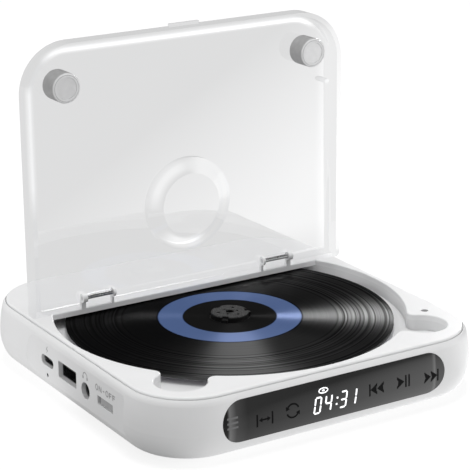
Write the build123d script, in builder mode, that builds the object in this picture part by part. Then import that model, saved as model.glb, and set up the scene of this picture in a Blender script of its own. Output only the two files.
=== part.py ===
from build123d import *
from math import acos, cos, hypot, pi, radians, sin, tan
import os

os.makedirs("parts", exist_ok=True)

# Compact top-loading disc player: glossy case, round disc well, clear lid standing open behind the disc.
# All sizes in millimetres. X runs to the right, Y to the rear, Z up from the bench.
# The origin is on the bench under the disc's centre.

# Disc, from the standard 120 mm disc
disc_r = 60.0
disc_hole_r = 7.5
disc_t = 1.2

# Case outline: gap round the disc, then the plate's narrowest rims; its seam has round corners
well_gap = 4.5
side_rim = 1.8
front_rim = 2.45
seam_r = 21.5
body_h = 22.9
foot_h = 0.8
foot_r = 4.5
foot_sink = 0.5
foot_in_x = 26.3
foot_in_y = 14.95
foot_gap = 0.05
foot_round = 0.3

# Bowed side wall, as offsets outward from the seam and depths below the top plane
side_bulge = 2.6
bulge_z = 13.2
wall_top_out = 1.5
wall_top_z = 2.9
under_in = 6.5
rim_drop = 0.9
rim_land = 0.2
groove_w = 0.3
wall_in = 0.7
skirt_z = 15.5
cut_past = 1.0

# Top plate and the well under it
plate_t = 2.2
plate_round = 0.7
rim_round = 0.5
well_wall = 1.0
well_depth = 6.0
well_floor_t = 1.4
deck_d = 37.95
pocket_out = 6.35
pocket_r = 9.0
pocket_blend = 3.0
hub_opening_r = 15.0
switch_hole_in = 7.4
switch_hole_back = 24.5
switch_hole_r = 1.3

# Bottom cover
cover_t = 2.0
cover_in = 5.5
cover_gap = 0.3
cover_lip = 2.5
cover_lip_t = 1.5

# Fasteners
boss_r = 3.0
screw_r = 0.95
screw_bore_r = 1.0
screw_head_r = 2.0
screw_head_t = 1.2
screw_sink = 1.4
screw_slip = 0.1
screw_head_gap = 0.2
cross_w = 0.6
cross_deep = 0.5
cross_share = 0.65
rear_boss_in = 14.1
screw_reach = 8.0

# Front window
window_w = 91.0
window_h = 15.0
window_z = 10.4
window_sink = 0.6
window_gap = 0.1
window_ledge = 1.2
window_cut_in = 3.0
window_deep = 6.0

# Port recess in the left side, as depths below the top plane
recess_out = 1.7
recess_top = 3.2
recess_bottom = 19.6
recess_rear_y = 24.0
recess_front_y = -44.0
scoop_length = 4.6
recess_corner = 3.0
port_gap = 0.25
port_cut_in = 4.0
round_end_slack = 0.01

# Ports in the recess: middle of each along Y and depth below the top plane
usb_c_y, usb_c_z = 13.5, 10.8
usb_c_w, usb_c_h = 8.94, 3.2
usb_a_y, usb_a_z = -2.0, 10.5
usb_a_w, usb_a_h = 13.1, 5.7
jack_y, jack_z = -15.6, 11.8
jack_ring_r = 2.9
jack_bore_r = 1.8
jack_set = 1.6
jack_length = 13.4
jack_half = 3.1
jack_back = 1.5
jack_wall_gap = 0.2
jack_notch_gap = 0.2
jack_tab_w = 4.0
jack_tab_in = 1.0
jack_tab_out = 1.5
jack_tab_t = 1.0
switch_y, switch_z = -29.9, 11.75
switch_slot_w, switch_slot_h = 11.0, 3.1
switch_slot_round = 0.3
switch_knob_w, switch_knob_h = 9.2, 2.7
switch_knob_set = 0.5
switch_knob_gap = 0.2
switch_body_in = 1.0
switch_body_deep = 4.5
switch_body_w = 11.0
switch_body_over = 1.9
switch_guide_w = 8.8
switch_guide_deep = 3.0
stem_w = 3.0
stem_h = 1.6
stem_gap = 0.1
stem_in = 2.8
led_y, led_z = 13.7, 16.1
led_r = 0.6
led_set = 0.1
led_reach = 3.0
led_block_w = 2.4
led_block_length = 3.0
led_block_drop = 1.0
switch_end_gap = 0.2
sheet_t = 0.35
usb_c_set = 1.0
usb_c_depth = 8.0
usb_c_back = 1.0
usb_c_foot_in = 0.5
usb_c_foot_lap = 0.2
usb_c_tongue_w = 6.7
usb_c_tongue_t = 0.7
usb_c_tongue_in = 0.8
usb_a_set = 1.5
usb_a_depth = 13.0
usb_a_round = 0.4
usb_a_hole_round = 0.5
tongue_w = 11.2
tongue_t = 1.9
tongue_in = 1.0
tongue_under = 0.3

# Lid, in its own frame: u across, v up the lid from the hinge axis, w towards the disc side
lid_side_in = 0.2
lid_front_in = -0.25
lid_bottom_v = -3.7
lid_r = 18.5
lid_t = 1.8
lid_skirt = 7.35
lid_hinge_skirt = 4.6
lid_round = 0.6
lid_inner_round = 2.4
lid_lean = 0.64
hinge_ahead = 0.3
hinge_setback = 3.4
lid_rest_gap = 0.15
tab_w = 12.4
tab_out = 1.2
tab_t = 1.2
tab_inset = 1.6
dimple_outer_r = 17.8
dimple_inner_r = 12.0
dimple_step = 2.2
dimple_depth = 4.0
knob_shift = 1.8
knob_r = 5.5
knob_face = 9.73
knob_round = 0.8
knob_gap = 0.05
magnet_r = 3.9
magnet_t = 3.0
magnet_recess = 0.15
nub_r = 0.9
nub_reach = 1.0
hinge_pitch = 38.6
barrel_r = 1.7
barrel_w = 10.2
lug_outer_w = 1.8
lug_inner_w = 0.9
lug_gap = 0.3
notch_gap = 0.4
pin_r = 0.8
pin_clearance = 0.05

# Hub and disc height
disc_sink = 2.9
hub_top_sink = 1.05
hub_r = 6.9
hub_neck_r = 7.35
hub_table_r = 13.5
hub_table_t = 1.2
hub_neck_drop = 0.2
hub_stem_r = 4.0
hub_hole_r = 1.6
jaw_w = 2.2
jaw_length = 2.4
jaw_t = 1.0
jaw_gap = 0.1
jaw_rise = 0.05
jaw_travel = 0.4
jaw_over = 0.25
jaw_count = 3
jaw_turn = 104.0
notch_in = 1.3
hole_ring_r = 4.3
hole_r = 0.75
inner_ring_r = 2.75
inner_hole_r = 0.5
hole_depth = 0.7
hub_hole_depth = 0.9
hub_round = 0.4

# Spindle motor
shaft_r = 1.0
shaft_gap = 0.03
cup_r = 11.0
cup_wall = 1.0
cup_h = 3.6
cup_top = 8.3
stator_r = 8.6
stator_h = 2.4
stator_poles = 9
pole_gap_w = 1.0
pole_gap_length = 4.2
pole_gap_in = 2.0
motor_base_r = 10.4
motor_base_t = 0.8

# Disc drive chassis
chassis_top = 13.0
chassis_t = 1.2
chassis_rear = 24.0
chassis_front = -43.0
chassis_left = -16.0
chassis_gap = 0.4
mech_post_in = 3.5
mech_post_right_in = 5.2
mech_post_front_y = -30.0
mech_boss_end = 11.6
mech_boss_r = 2.4
grommet_r = 3.4
grommet_neck_r = 2.3
grommet_end = 15.4
mech_screw_r = 0.8
mech_screw_bore_r = 0.85
mech_bore_stop = 0.4
mech_screw_stop = 0.6
mech_head_r = 2.6
mech_head_t = 0.8

# Pickup sled, on two rods along X
lens_x = 24.0
disc_edge = 4.0
sled_back = 8.0
sled_front = 6.0
sled_half_y = 16.0
sled_top = 8.3
sled_bottom = 11.4
sled_pocket_floor = 1.2
rod_y = 13.5
rod_z = 9.9
rod_r = 1.25
rod_gap = 0.05
rod_start = 3.0
rod_end_in = 0.4
rod_block = 2.6
rod_block_half = 2.0
rod_block_cap = 0.6
arm_w = 2.5
lens_slot_w = 15.0
lens_slot_gap = 1.9
lens_holder_w = 9.0
lens_holder_d = 11.0
lens_holder_t = 1.6
lens_holder_top = 5.9
holder_room = 1.0
holder_foot_drop = 3.1
holder_foot_w = 4.8
holder_foot_d = 6.4
lens_r = 2.6
lens_rise = 0.4
lens_seat = 1.2
lens_ledge = 0.5
focus_gap = 0.6
focus_magnet_w = 6.0
focus_magnet_drop = 0.2

# Sled gears; tooth tip and root are shares of the module
gear_module = 0.5
tooth_tip = 0.8
tooth_root = 1.15
pressure_angle = 20.0
flank_steps = 4
rack_lead = 1.5
rack_teeth = 23
small_teeth = 14
large_teeth = 36
pinion_teeth = 12
gear_backlash = 0.12
gear_x = 28.0
gear_face = 2.0
large_face = 1.0
large_drop = 0.8
gear_bore_r = 0.85
gear_axle_r = 0.8
gear_axle_over = 0.5
pinion_below = 0.1
pinion_above = 0.6
pinion_hole_r = 2.0
sled_motor_r = 7.5
sled_motor_room = 0.5
motor_shaft_r = 0.6
motor_shaft_in = 1.0
motor_boss_r = 1.9
motor_boss_drop = 0.2
motor_bearing = 1.2

# Boards and battery
board_t = 1.6
board_top = 13.4
board_gap = 1.0
board_w = 34.6
board_front = -46.0
board_rear = 34.0
board_post_in = 4.0
board_post_side = 10.6
board_screw_reach = 5.0
chip_t = 1.5
chips = [(20.0, 19.0, 10.0), (25.0, -2.0, 11.0), (19.0, -37.0, 7.0)]
battery_gap = 4.0
battery_w = 60.0
battery_front = -22.0
battery_d = 37.0
battery_room = 0.9
battery_pad_t = 0.4
battery_edge = 1.0
battery_round = 1.2
panel_board_w = 86.0
panel_board_t = 1.2
panel_board_in = 4.55
panel_board_top = 8.2
module_w = 30.0
module_h = 8.8
module_x = -6.0
module_drop = 1.8
module_gap = 0.6
touch_pads = [-38.0, -27.0, 17.5, 28.5, 40.0]
touch_pad_r = 2.6
touch_pad_wall = 0.5
ribbon_in = 18.6
ribbon_w = 10.0
ribbon_lap = 4.0
ribbon_t = 0.2

# Lid switch
plunger_gap = 0.1
plunger_r = 0.9
plunger_slip = 0.1
plunger_foot = 2.0
collar_low = 1.4
collar_high = 0.5
lid_switch_h = 4.4
lid_switch_half = 2.1
cavity_r = 1.4
cavity_floor = 0.6
cavity_roof = 0.4

well_r = disc_r + well_gap
seam_w = 2 * (well_r + side_rim)
seam_d = 2 * (well_r + front_rim)
left_x = -seam_w / 2
inner_wall_x = seam_w / 2 - wall_in
inner_wall_y = seam_d / 2 - wall_in
pocket_at = (well_r + pocket_out) / 2**0.5
deck_front_y = seam_d / 2 - deck_d
hinge_y = deck_front_y - hinge_ahead
switch_hole = (seam_w / 2 - switch_hole_in, switch_hole_back - well_r)
front_boss = (pocket_at, -pocket_at)
rear_boss = (seam_w / 2 - rear_boss_in, seam_d / 2 - rear_boss_in)
foot_x = seam_w / 2 - foot_in_x
foot_y = seam_d / 2 - foot_in_y
lid_w = seam_w - 2 * lid_side_in
lid_top_v = hinge_y + seam_d / 2 - lid_front_in
knob_x = pocket_at + knob_shift
knob_v = hinge_y + knob_x
sled_travel = disc_r - disc_edge - lens_x
lens_slot_end = lens_x + sled_travel + lens_holder_w / 2 + lens_slot_gap
chassis_low = (chassis_left, chassis_front)
chassis_high = (inner_wall_x - chassis_gap, chassis_rear)
mech_posts = [(x, y) for x in (chassis_left + mech_post_in, chassis_high[0] - mech_post_right_in)
              for y in (chassis_rear - mech_post_in, mech_post_front_y)]
board_low = (-inner_wall_x + board_gap, board_front)
board_high = (board_low[0] + board_w, board_rear)
board_posts = [(x, y) for x in (board_low[0] + board_post_side, board_high[0] - board_post_in)
               for y in (board_front + board_post_in, board_rear - board_post_in)]
battery_low = (board_high[0] + battery_gap, battery_front)
battery_high = (battery_low[0] + battery_w, battery_front + battery_d)
panel_board_y = seam_d / 2 - panel_board_in

top_z = foot_h + body_h
under_plate = top_z - plate_t
floor_top = top_z - well_depth
floor_bottom = floor_top - well_floor_t
cover_top = foot_h + cover_t
chassis_face = top_z - chassis_top
chassis_bottom = chassis_face - chassis_t
battery_h = chassis_bottom - cover_top - battery_pad_t - battery_room
hinge_z = top_z + lid_skirt - hinge_setback + lid_rest_gap
disc_top = top_z - disc_sink
disc_bottom = disc_top - disc_t


def block(low, high, mode=Mode.ADD):
    """Box between two corners"""
    size = [abs(b - a) for a, b in zip(low, high)]
    with Locations([tuple((a + b) / 2 for a, b in zip(low, high))]):
        Box(*size, mode=mode)


def post(x, y, radius, low, high, mode=Mode.ADD):
    """Upright cylinder between two heights"""
    with Locations((x, y, (low + high) / 2)):
        Cylinder(radius, abs(high - low), mode=mode)


def rod_along_x(y, z, radius, low, high, mode=Mode.ADD):
    """Cylinder along X between two places"""
    with Locations(Location(((low + high) / 2, y, z), (0, 90, 0))):
        Cylinder(radius, abs(high - low), mode=mode)


def slab(width, depth, radius, low, high, mode=Mode.ADD):
    """Plate with round corners, centred on the disc's axis"""
    with BuildSketch(Plane.XY.offset(low)) as outline:
        RectangleRounded(width, depth, radius)
    extrude(outline.sketch, amount=high - low, mode=mode)


def finish(piece, name):
    """Label the piece and write it"""
    piece.part.label = name
    export_step(piece.part, f"parts/{name}.step")


# The seam path, and the upright plane that crosses it at its start
with BuildSketch(Plane.XY.offset(top_z)) as seam_outline:
    RectangleRounded(seam_w, seam_d, seam_r)
seam_path = seam_outline.sketch.face().outer_wire()
seam_start = seam_path @ 0
seam_along = seam_path % 0
seam_out = seam_along.cross(Vector(0, 0, 1))
if seam_out.dot(seam_start) < 0:
    seam_out = -seam_out
section_plane = Plane(origin=seam_start, x_dir=seam_out, z_dir=seam_out.cross(Vector(0, 0, 1)))


def side_ring(inner, mode=Mode.ADD):
    """Sweep the bowed outer curve, closed by the inner points, round the seam"""
    rim = (groove_w + rim_land, -rim_drop)
    wall_top = (wall_top_out, -wall_top_z)
    widest = (side_bulge, -bulge_z)
    under_h = body_h - bulge_z
    turn = (side_bulge - under_in * (1 - cos(pi / 4)), -bulge_z - under_h * sin(pi / 4))
    edge = (side_bulge - under_in, -body_h)
    with BuildSketch(section_plane) as section:
        with BuildLine():
            wall = TangentArc(widest, wall_top, tangent=(0, 1))
            TangentArc(wall_top, rim, tangent=wall % 1)
            lower = TangentArc(widest, turn, tangent=(0, -1))
            TangentArc(turn, edge, tangent=lower % 1)
            Polyline(edge, *inner, rim)
        make_face()
    sweep(section.sketch, path=seam_path, mode=mode)


def window_outline(margin):
    """Round-ended outline of the front window, grown or shrunk by a margin"""
    with BuildSketch(Plane.XZ) as outline:
        with Locations((0, top_z - window_z)):
            SlotOverall(window_w + 2 * margin, window_h + 2 * margin)
    return outline.sketch


def front_prism(margin, near, far, mode=Mode.ADD):
    """Window outline pushed out along -Y from near to far"""
    extrude(window_outline(margin).moved(Location((0, -near, 0))), amount=far - near, mode=mode)


window_back_y = seam_d / 2 + window_sink
window_out_y = seam_d / 2 + side_bulge + cut_past
recess_x = left_x - recess_out
case_left = left_x - side_bulge

# Port recess: a flat floor with a scooped rear end, subtracted from the side housing
with BuildPart() as recess:
    with BuildSketch(Plane.XY.offset(top_z - recess_bottom)):
        with BuildLine():
            outer_x = case_left - cut_past
            arc_end = (case_left, recess_rear_y + scoop_length)
            TangentArc((recess_x, recess_rear_y), arc_end, tangent=(0, 1))
            Polyline(arc_end, (outer_x, arc_end[1]), (outer_x, recess_front_y), (recess_x, recess_front_y),
                     (recess_x, recess_rear_y))
        make_face()
    extrude(amount=recess_bottom - recess_top)
    front_top = recess.edges().filter_by(Axis.X).group_by(Axis.Z)[-1].sort_by(Axis.Y)[0]
    fillet(front_top, recess_corner)


def port_slot(y, depth, width, height, radius, near, far, mode=Mode.SUBTRACT):
    """Round-cornered port outline in the side wall, pushed along X from near to far"""
    with BuildSketch(Plane.YZ.offset(near)) as outline:
        with Locations((y, top_z - depth)):
            RectangleRounded(width, height, radius)
    extrude(outline.sketch, amount=far - near, mode=mode)


# Side housing: one bowed ring from the seam down to the bottom cover
with BuildPart() as side_housing:
    cover_edge = -cover_in + cover_gap
    side_ring([
        (cover_edge, -body_h),
        (cover_edge, -body_h + cover_t),
        (cover_edge - cover_lip, -body_h + cover_t),
        (cover_edge - cover_lip, -body_h + cover_t + cover_lip_t),
        (-wall_in - cover_lip, -body_h + cover_t + cover_lip_t),
        (-wall_in, -skirt_z),
        (-wall_in, -plate_t),
        (groove_w, -plate_t),
        (groove_w, -rim_drop),
    ])
    front_prism(window_gap, window_back_y, window_out_y, Mode.SUBTRACT)
    front_prism(-window_ledge, inner_wall_y - window_cut_in, window_out_y, Mode.SUBTRACT)
    add(recess.part, mode=Mode.SUBTRACT)
    hole_near, hole_far = case_left - cut_past, -inner_wall_x + port_cut_in
    port_slot(usb_c_y, usb_c_z, usb_c_w + 2 * port_gap, usb_c_h + 2 * port_gap,
              usb_c_h / 2 + port_gap - round_end_slack, hole_near, hole_far)
    port_slot(usb_a_y, usb_a_z, usb_a_w + 2 * port_gap, usb_a_h + 2 * port_gap, usb_a_hole_round,
              hole_near, hole_far)
    port_slot(switch_y, switch_z, switch_slot_w, switch_slot_h, switch_slot_round, hole_near, hole_far)
    for hole_y, hole_z, hole_r in ((jack_y, jack_z, jack_ring_r), (led_y, led_z, led_r)):
        rod_along_x(hole_y, top_z - hole_z, hole_r + port_gap / 2, hole_near, hole_far, Mode.SUBTRACT)
finish(side_housing, "side_housing")


def well_outline(wall, front_only):
    """The round well with its two knob pockets, grown by the wall"""
    with BuildSketch() as outline:
        Circle(well_r + wall)
        if front_only:
            with Locations((0, deck_front_y)):
                Rectangle(3 * well_r, 3 * well_r, align=(Align.CENTER, Align.MAX), mode=Mode.INTERSECT)
        for side in (-1, 1):
            middle = (side * pocket_at, -pocket_at)
            with Locations(middle):
                Circle(pocket_r + wall)
            neck = Location((side * pocket_at / 2, -pocket_at / 2), -side * 45)
            with Locations(neck):
                Rectangle(2 * (pocket_r + wall), hypot(pocket_at, pocket_at))
        corners = [v for v in outline.vertices() if abs(hypot(v.X, v.Y) - well_r - wall) < 0.01 and v.Y < 0]
        fillet(corners, pocket_blend - wall)
    return outline.sketch


def lug_spans(side):
    """X ranges of the outer and the inner hinge lug on one side"""
    outer = side * (hinge_pitch + barrel_w / 2 + lug_gap)
    inner = side * (hinge_pitch - barrel_w / 2 - lug_gap)
    return [(outer, outer + side * lug_outer_w), (inner, inner - side * lug_inner_w)]


# Top plate with the rear deck, hinge lugs and rear screw bosses
with BuildPart() as top_plate:
    slab(seam_w, seam_d, seam_r, under_plate, top_z)
    fillet(top_plate.faces().sort_by(Axis.Z)[-1].edges(), plate_round)
    extrude(well_outline(0, True).moved(Location((0, 0, under_plate))), amount=plate_t, mode=Mode.SUBTRACT)
    rim_edges = top_plate.faces().sort_by(Axis.Z)[-1].inner_wires()[0].edges()
    fillet(rim_edges, rim_round)
    post(*switch_hole, switch_hole_r, under_plate, top_z, Mode.SUBTRACT)
    for side in (-1, 1):
        for near_x, far_x in lug_spans(side):
            block((near_x, deck_front_y, under_plate), (far_x, hinge_y + barrel_r, hinge_z))
            rod_along_x(hinge_y, hinge_z, barrel_r, near_x, far_x)
            rod_along_x(hinge_y, hinge_z, pin_r + pin_clearance, near_x, far_x, Mode.SUBTRACT)
        post(side * rear_boss[0], rear_boss[1], boss_r, cover_top, under_plate)
        post(side * rear_boss[0], rear_boss[1], screw_bore_r, cover_top, under_plate, Mode.SUBTRACT)
finish(top_plate, "top_plate")

# Disc well: wall, floor, knob pockets, posts for the drive and the front screws
with BuildPart() as disc_well:
    extrude(well_outline(well_wall, False).moved(Location((0, 0, floor_bottom))),
            amount=under_plate - floor_bottom)
    extrude(well_outline(0, False).moved(Location((0, 0, floor_top))), amount=under_plate - floor_top,
            mode=Mode.SUBTRACT)
    post(0, 0, hub_opening_r, floor_bottom, floor_top, Mode.SUBTRACT)
    block((0, -lens_slot_w / 2, floor_bottom), (lens_slot_end, lens_slot_w / 2, floor_top), Mode.SUBTRACT)
    for x, y in mech_posts:
        post(x, y, mech_boss_r, top_z - mech_boss_end, floor_bottom)
        post(x, y, mech_screw_bore_r, top_z - mech_boss_end, floor_bottom - mech_bore_stop, Mode.SUBTRACT)
    for side in (-1, 1):
        post(side * front_boss[0], front_boss[1], boss_r, cover_top, floor_bottom)
        post(side * front_boss[0], front_boss[1], screw_bore_r, cover_top, floor_bottom, Mode.SUBTRACT)
finish(disc_well, "disc_well")

# Bottom cover with counterbored screw holes, foot recesses and board posts
cover_screws_at = [(s * x, y) for x, y in (front_boss, rear_boss) for s in (-1, 1)]
feet_at = [(sx * foot_x, sy * foot_y) for sx in (-1, 1) for sy in (-1, 1)]
board_bottom = top_z - board_top - board_t
with BuildPart() as bottom_cover:
    slab(seam_w - 2 * cover_in, seam_d - 2 * cover_in, seam_r - cover_in, foot_h, cover_top)
    for x, y in cover_screws_at:
        post(x, y, screw_bore_r + screw_slip, foot_h, cover_top, Mode.SUBTRACT)
        post(x, y, screw_head_r + screw_head_gap, foot_h, foot_h + screw_sink, Mode.SUBTRACT)
    for x, y in feet_at:
        post(x, y, foot_r + foot_gap, foot_h, foot_h + foot_sink, Mode.SUBTRACT)
    for x, y in board_posts:
        post(x, y, boss_r, cover_top, board_bottom)
        post(x, y, screw_bore_r, cover_top, board_bottom, Mode.SUBTRACT)
    block((battery_low[0] - battery_edge, battery_low[1], cover_top),
          (battery_low[0], battery_high[1], cover_top + battery_h / 2))
    block((battery_high[0], battery_low[1], cover_top),
          (battery_high[0] + battery_edge, battery_high[1], cover_top + battery_h / 2))
finish(bottom_cover, "bottom_cover")

# Four rubber feet
with BuildPart() as rubber_feet:
    for x, y in feet_at:
        post(x, y, foot_r, 0, foot_h + foot_sink)
    fillet(rubber_feet.faces().group_by(Axis.Z)[0].edges(), foot_round)
finish(rubber_feet, "rubber_feet")


def screw(x, y, radius, head_radius, face, seat, tip):
    """Upright screw: head from its outer face to its seat, then the shank, with a cross recess in the head"""
    post(x, y, head_radius, face, seat)
    post(x, y, radius, seat, tip)
    recess_end = face + cross_deep if seat > face else face - cross_deep
    for half_x, half_y in ((head_radius * cross_share, cross_w / 2), (cross_w / 2, head_radius * cross_share)):
        block((x - half_x, y - half_y, face), (x + half_x, y + half_y, recess_end), Mode.SUBTRACT)


# Screws that hold the bottom cover
with BuildPart() as cover_screws:
    cover_seat = foot_h + screw_sink
    for x, y in cover_screws_at:
        screw(x, y, screw_r, screw_head_r, cover_seat - screw_head_t, cover_seat, cover_top + screw_reach)
finish(cover_screws, "cover_screws")

# Hinge pins through the lugs and the lid's barrels
with BuildPart() as hinge_pins:
    for side in (-1, 1):
        (_, outer_end), (_, inner_end) = lug_spans(side)
        rod_along_x(hinge_y, hinge_z, pin_r, outer_end, inner_end)
finish(hinge_pins, "hinge_pins")

# Lid frame: origin on the hinge axis, u along X, v up the lid, w towards the disc side
lean = radians(lid_lean)
lid_frame = Plane(origin=(0, hinge_y, hinge_z), x_dir=(1, 0, 0), z_dir=(0, -cos(lean), sin(lean)))
outer_w = -hinge_setback
inner_w = outer_w + lid_t
rim_w = outer_w + lid_skirt
hinge_rim_w = outer_w + lid_hinge_skirt


def lid_outline(inset, w, bottom_inset):
    """Lid outline with round free corners and square hinge corners, at one depth"""
    half = lid_w / 2 - inset
    low, high = lid_bottom_v + bottom_inset, lid_top_v - inset
    corner = lid_r - inset
    with BuildSketch(lid_frame.offset(w)) as outline:
        with BuildLine():
            Polyline((-half, high - corner), (-half, low), (half, low), (half, high - corner))
            RadiusArc((half, high - corner), (half - corner, high), -corner)
            Line((half - corner, high), (-half + corner, high))
            RadiusArc((-half + corner, high), (-half, high - corner), -corner)
        make_face()
    return outline.sketch


def lid_box(low, high, mode=Mode.ADD):
    """Box between two corners in the lid frame"""
    with BuildSketch(lid_frame.offset(low[2])) as outline:
        with Locations(((low[0] + high[0]) / 2, (low[1] + high[1]) / 2)):
            Rectangle(high[0] - low[0], high[1] - low[1])
    extrude(outline.sketch, amount=high[2] - low[2], mode=mode)


def lid_post(u, v, radius, low, high, mode=Mode.ADD):
    """Cylinder square to the lid between two depths"""
    with BuildSketch(lid_frame.offset(low)) as outline:
        with Locations((u, v)):
            Circle(radius)
    extrude(outline.sketch, amount=high - low, mode=mode)


def dimple(base_w, inset, mode):
    """Dished boss over the hub: a short step, then a slope to its flat middle"""
    centre = lid_frame.from_local_coords((0, hinge_y, base_w))
    side_plane = Plane(origin=centre, x_dir=(1, 0, 0), z_dir=-lid_frame.y_dir)
    with BuildSketch(side_plane) as half:
        with BuildLine():
            Polyline((0, 0), (dimple_outer_r - inset, 0), (dimple_outer_r - inset, dimple_step),
                     (dimple_inner_r - inset / 2, dimple_depth), (0, dimple_depth), (0, 0))
        make_face()
    revolve(half.sketch, axis=Axis(centre, lid_frame.z_dir), mode=mode)


# Relief that lets the side skirts' lower ends swing past the deck, round the hinge axis
with BuildPart() as skirt_relief:
    lid_box((-lid_w, lid_bottom_v - cut_past, hinge_rim_w), (lid_w, 0, rim_w + cut_past))
    rod_along_x(hinge_y, hinge_z, rim_w, -lid_w, lid_w, Mode.SUBTRACT)

# Clear lid: plate, skirts, dimple, hinge barrels, finger tab and the nub for the lid switch
with BuildPart() as lid_hollow:
    extrude(lid_outline(lid_t, inner_w, lid_t), amount=lid_skirt)
    fillet(lid_hollow.faces().sort_by(Axis.Y)[-1].edges(), lid_inner_round)

nub_v = hinge_y - switch_hole[1]
nub_tip_w = hinge_z - top_z + nub_reach
notch_v = barrel_r + notch_gap
with BuildPart() as lid:
    extrude(lid_outline(0, outer_w, 0), amount=lid_skirt)
    back = lid.faces().sort_by(Axis.Y)[-1]
    fillet(back.edges(), lid_round)
    add(lid_hollow.part, mode=Mode.SUBTRACT)
    lid_box((-lid_w / 2 + lid_t, lid_bottom_v - cut_past, hinge_rim_w),
            (lid_w / 2 - lid_t, notch_v, rim_w + cut_past),
            Mode.SUBTRACT)
    add(skirt_relief.part, mode=Mode.SUBTRACT)
    dimple(inner_w, 0, Mode.ADD)
    dimple(outer_w, lid_t, Mode.SUBTRACT)
    lid_box((-tab_w / 2, lid_top_v - lid_t, outer_w + tab_inset),
            (tab_w / 2, lid_top_v + tab_out, outer_w + tab_inset + tab_t))
    lid_post(switch_hole[0], nub_v, nub_r, inner_w, nub_tip_w)
    for side in (-1, 1):
        low_u, high_u = side * hinge_pitch - barrel_w / 2, side * hinge_pitch + barrel_w / 2
        lid_box((low_u, lid_bottom_v, inner_w), (high_u, 0, hinge_rim_w))
        rod_along_x(hinge_y, hinge_z, barrel_r, low_u, high_u)
        rod_along_x(hinge_y, hinge_z, pin_r + pin_clearance, low_u, high_u, Mode.SUBTRACT)
        for near_u, far_u in lug_spans(side):
            low_u, high_u = min(near_u, far_u) - lug_gap, max(near_u, far_u) + lug_gap
            lid_box((low_u, lid_bottom_v - cut_past, outer_w - cut_past),
                    (high_u, notch_v, hinge_rim_w + cut_past), Mode.SUBTRACT)
finish(lid, "lid")

# Round knobs on the lid's inner face, each with a magnet in its end
for side, name in ((-1, "left"), (1, "right")):
    with BuildPart() as knob:
        lid_post(side * knob_x, knob_v, knob_r, inner_w, outer_w + knob_face)
        front = knob.faces().sort_by(Axis.Y)[0]
        fillet(front.edges(), knob_round)
        lid_post(side * knob_x, knob_v, magnet_r + knob_gap, outer_w + knob_face - magnet_t,
                 outer_w + knob_face, Mode.SUBTRACT)
    finish(knob, f"lid_knob_{name}")
    with BuildPart() as magnet:
        lid_post(side * knob_x, knob_v, magnet_r, outer_w + knob_face - magnet_t,
                 outer_w + knob_face - magnet_recess)
    finish(magnet, f"knob_magnet_{name}")

# Disc
with BuildPart() as disc:
    post(0, 0, disc_r, disc_bottom, disc_top)
    post(0, 0, disc_hole_r, disc_bottom, disc_top, Mode.SUBTRACT)
finish(disc, "disc")

# Turntable hub: table under the disc, neck through its hole, jaw slots and small holes in the top
hub_top = top_z - hub_top_sink
hub_neck_top = disc_top - hub_neck_drop
jaw_low = disc_top + jaw_rise
hub_table_bottom = disc_bottom - hub_table_t
with BuildPart() as turntable_hub:
    post(0, 0, hub_table_r, hub_table_bottom, disc_bottom)
    post(0, 0, hub_neck_r, disc_bottom, hub_neck_top)
    post(0, 0, hub_r, hub_neck_top, hub_top)
    post(0, 0, hub_stem_r, top_z - cup_top, hub_table_bottom)
    fillet(turntable_hub.faces().sort_by(Axis.Z)[-1].edges(), hub_round)
    post(0, 0, shaft_r, top_z - cup_top, hub_top, Mode.SUBTRACT)
    post(0, 0, hub_hole_r, hub_top - hub_hole_depth, hub_top, Mode.SUBTRACT)
    with BuildSketch(Plane.XY.offset(hub_top - hole_depth)) as small_holes:
        with PolarLocations(hole_ring_r, jaw_count, start_angle=jaw_turn - 180 / jaw_count):
            Circle(hole_r)
        with PolarLocations(inner_ring_r, jaw_count, start_angle=jaw_turn):
            Circle(inner_hole_r)
    extrude(small_holes.sketch, amount=hole_depth, mode=Mode.SUBTRACT)
    with BuildSketch(Plane.XY.offset(jaw_low - jaw_gap)) as jaw_slots:
        with PolarLocations(hub_r, jaw_count, start_angle=jaw_turn):
            Rectangle(2 * (jaw_length + jaw_travel - jaw_over), jaw_w + 2 * jaw_gap)
    extrude(jaw_slots.sketch, amount=jaw_t + 2 * jaw_gap, mode=Mode.SUBTRACT)
    with BuildSketch(Plane.XY.offset(jaw_low)) as rim_notches:
        with PolarLocations(hub_r, jaw_count, start_angle=jaw_turn):
            Rectangle(2 * notch_in, jaw_w + 2 * jaw_gap)
    extrude(rim_notches.sketch, amount=hub_top - jaw_low, mode=Mode.SUBTRACT)
finish(turntable_hub, "turntable_hub")

# Spring jaws that hold the disc down, one in each slot
for number in range(jaw_count):
    angle = jaw_turn + 360 / jaw_count * number
    with BuildPart() as jaw:
        with BuildSketch(Plane.XY.offset(jaw_low)) as jaw_face:
            with Locations(Location((0, 0), angle)):
                with Locations((disc_hole_r + jaw_over - jaw_length / 2, 0)):
                    Rectangle(jaw_length, jaw_w)
        extrude(jaw_face.sketch, amount=jaw_t)
    finish(jaw, f"disc_jaw_{number + 1}")

# Spindle shaft and the motor's turning cup
with BuildPart() as spindle_shaft:
    post(0, 0, shaft_r, chassis_bottom, hub_top - hub_hole_depth)
finish(spindle_shaft, "spindle_shaft")

cup_high = top_z - cup_top
cup_low = cup_high - cup_h
with BuildPart() as motor_cup:
    post(0, 0, cup_r, cup_low, cup_high)
    post(0, 0, cup_r - cup_wall, cup_low, cup_high - cup_wall, Mode.SUBTRACT)
    post(0, 0, shaft_r, cup_low, cup_high, Mode.SUBTRACT)
finish(motor_cup, "motor_cup")

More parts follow.
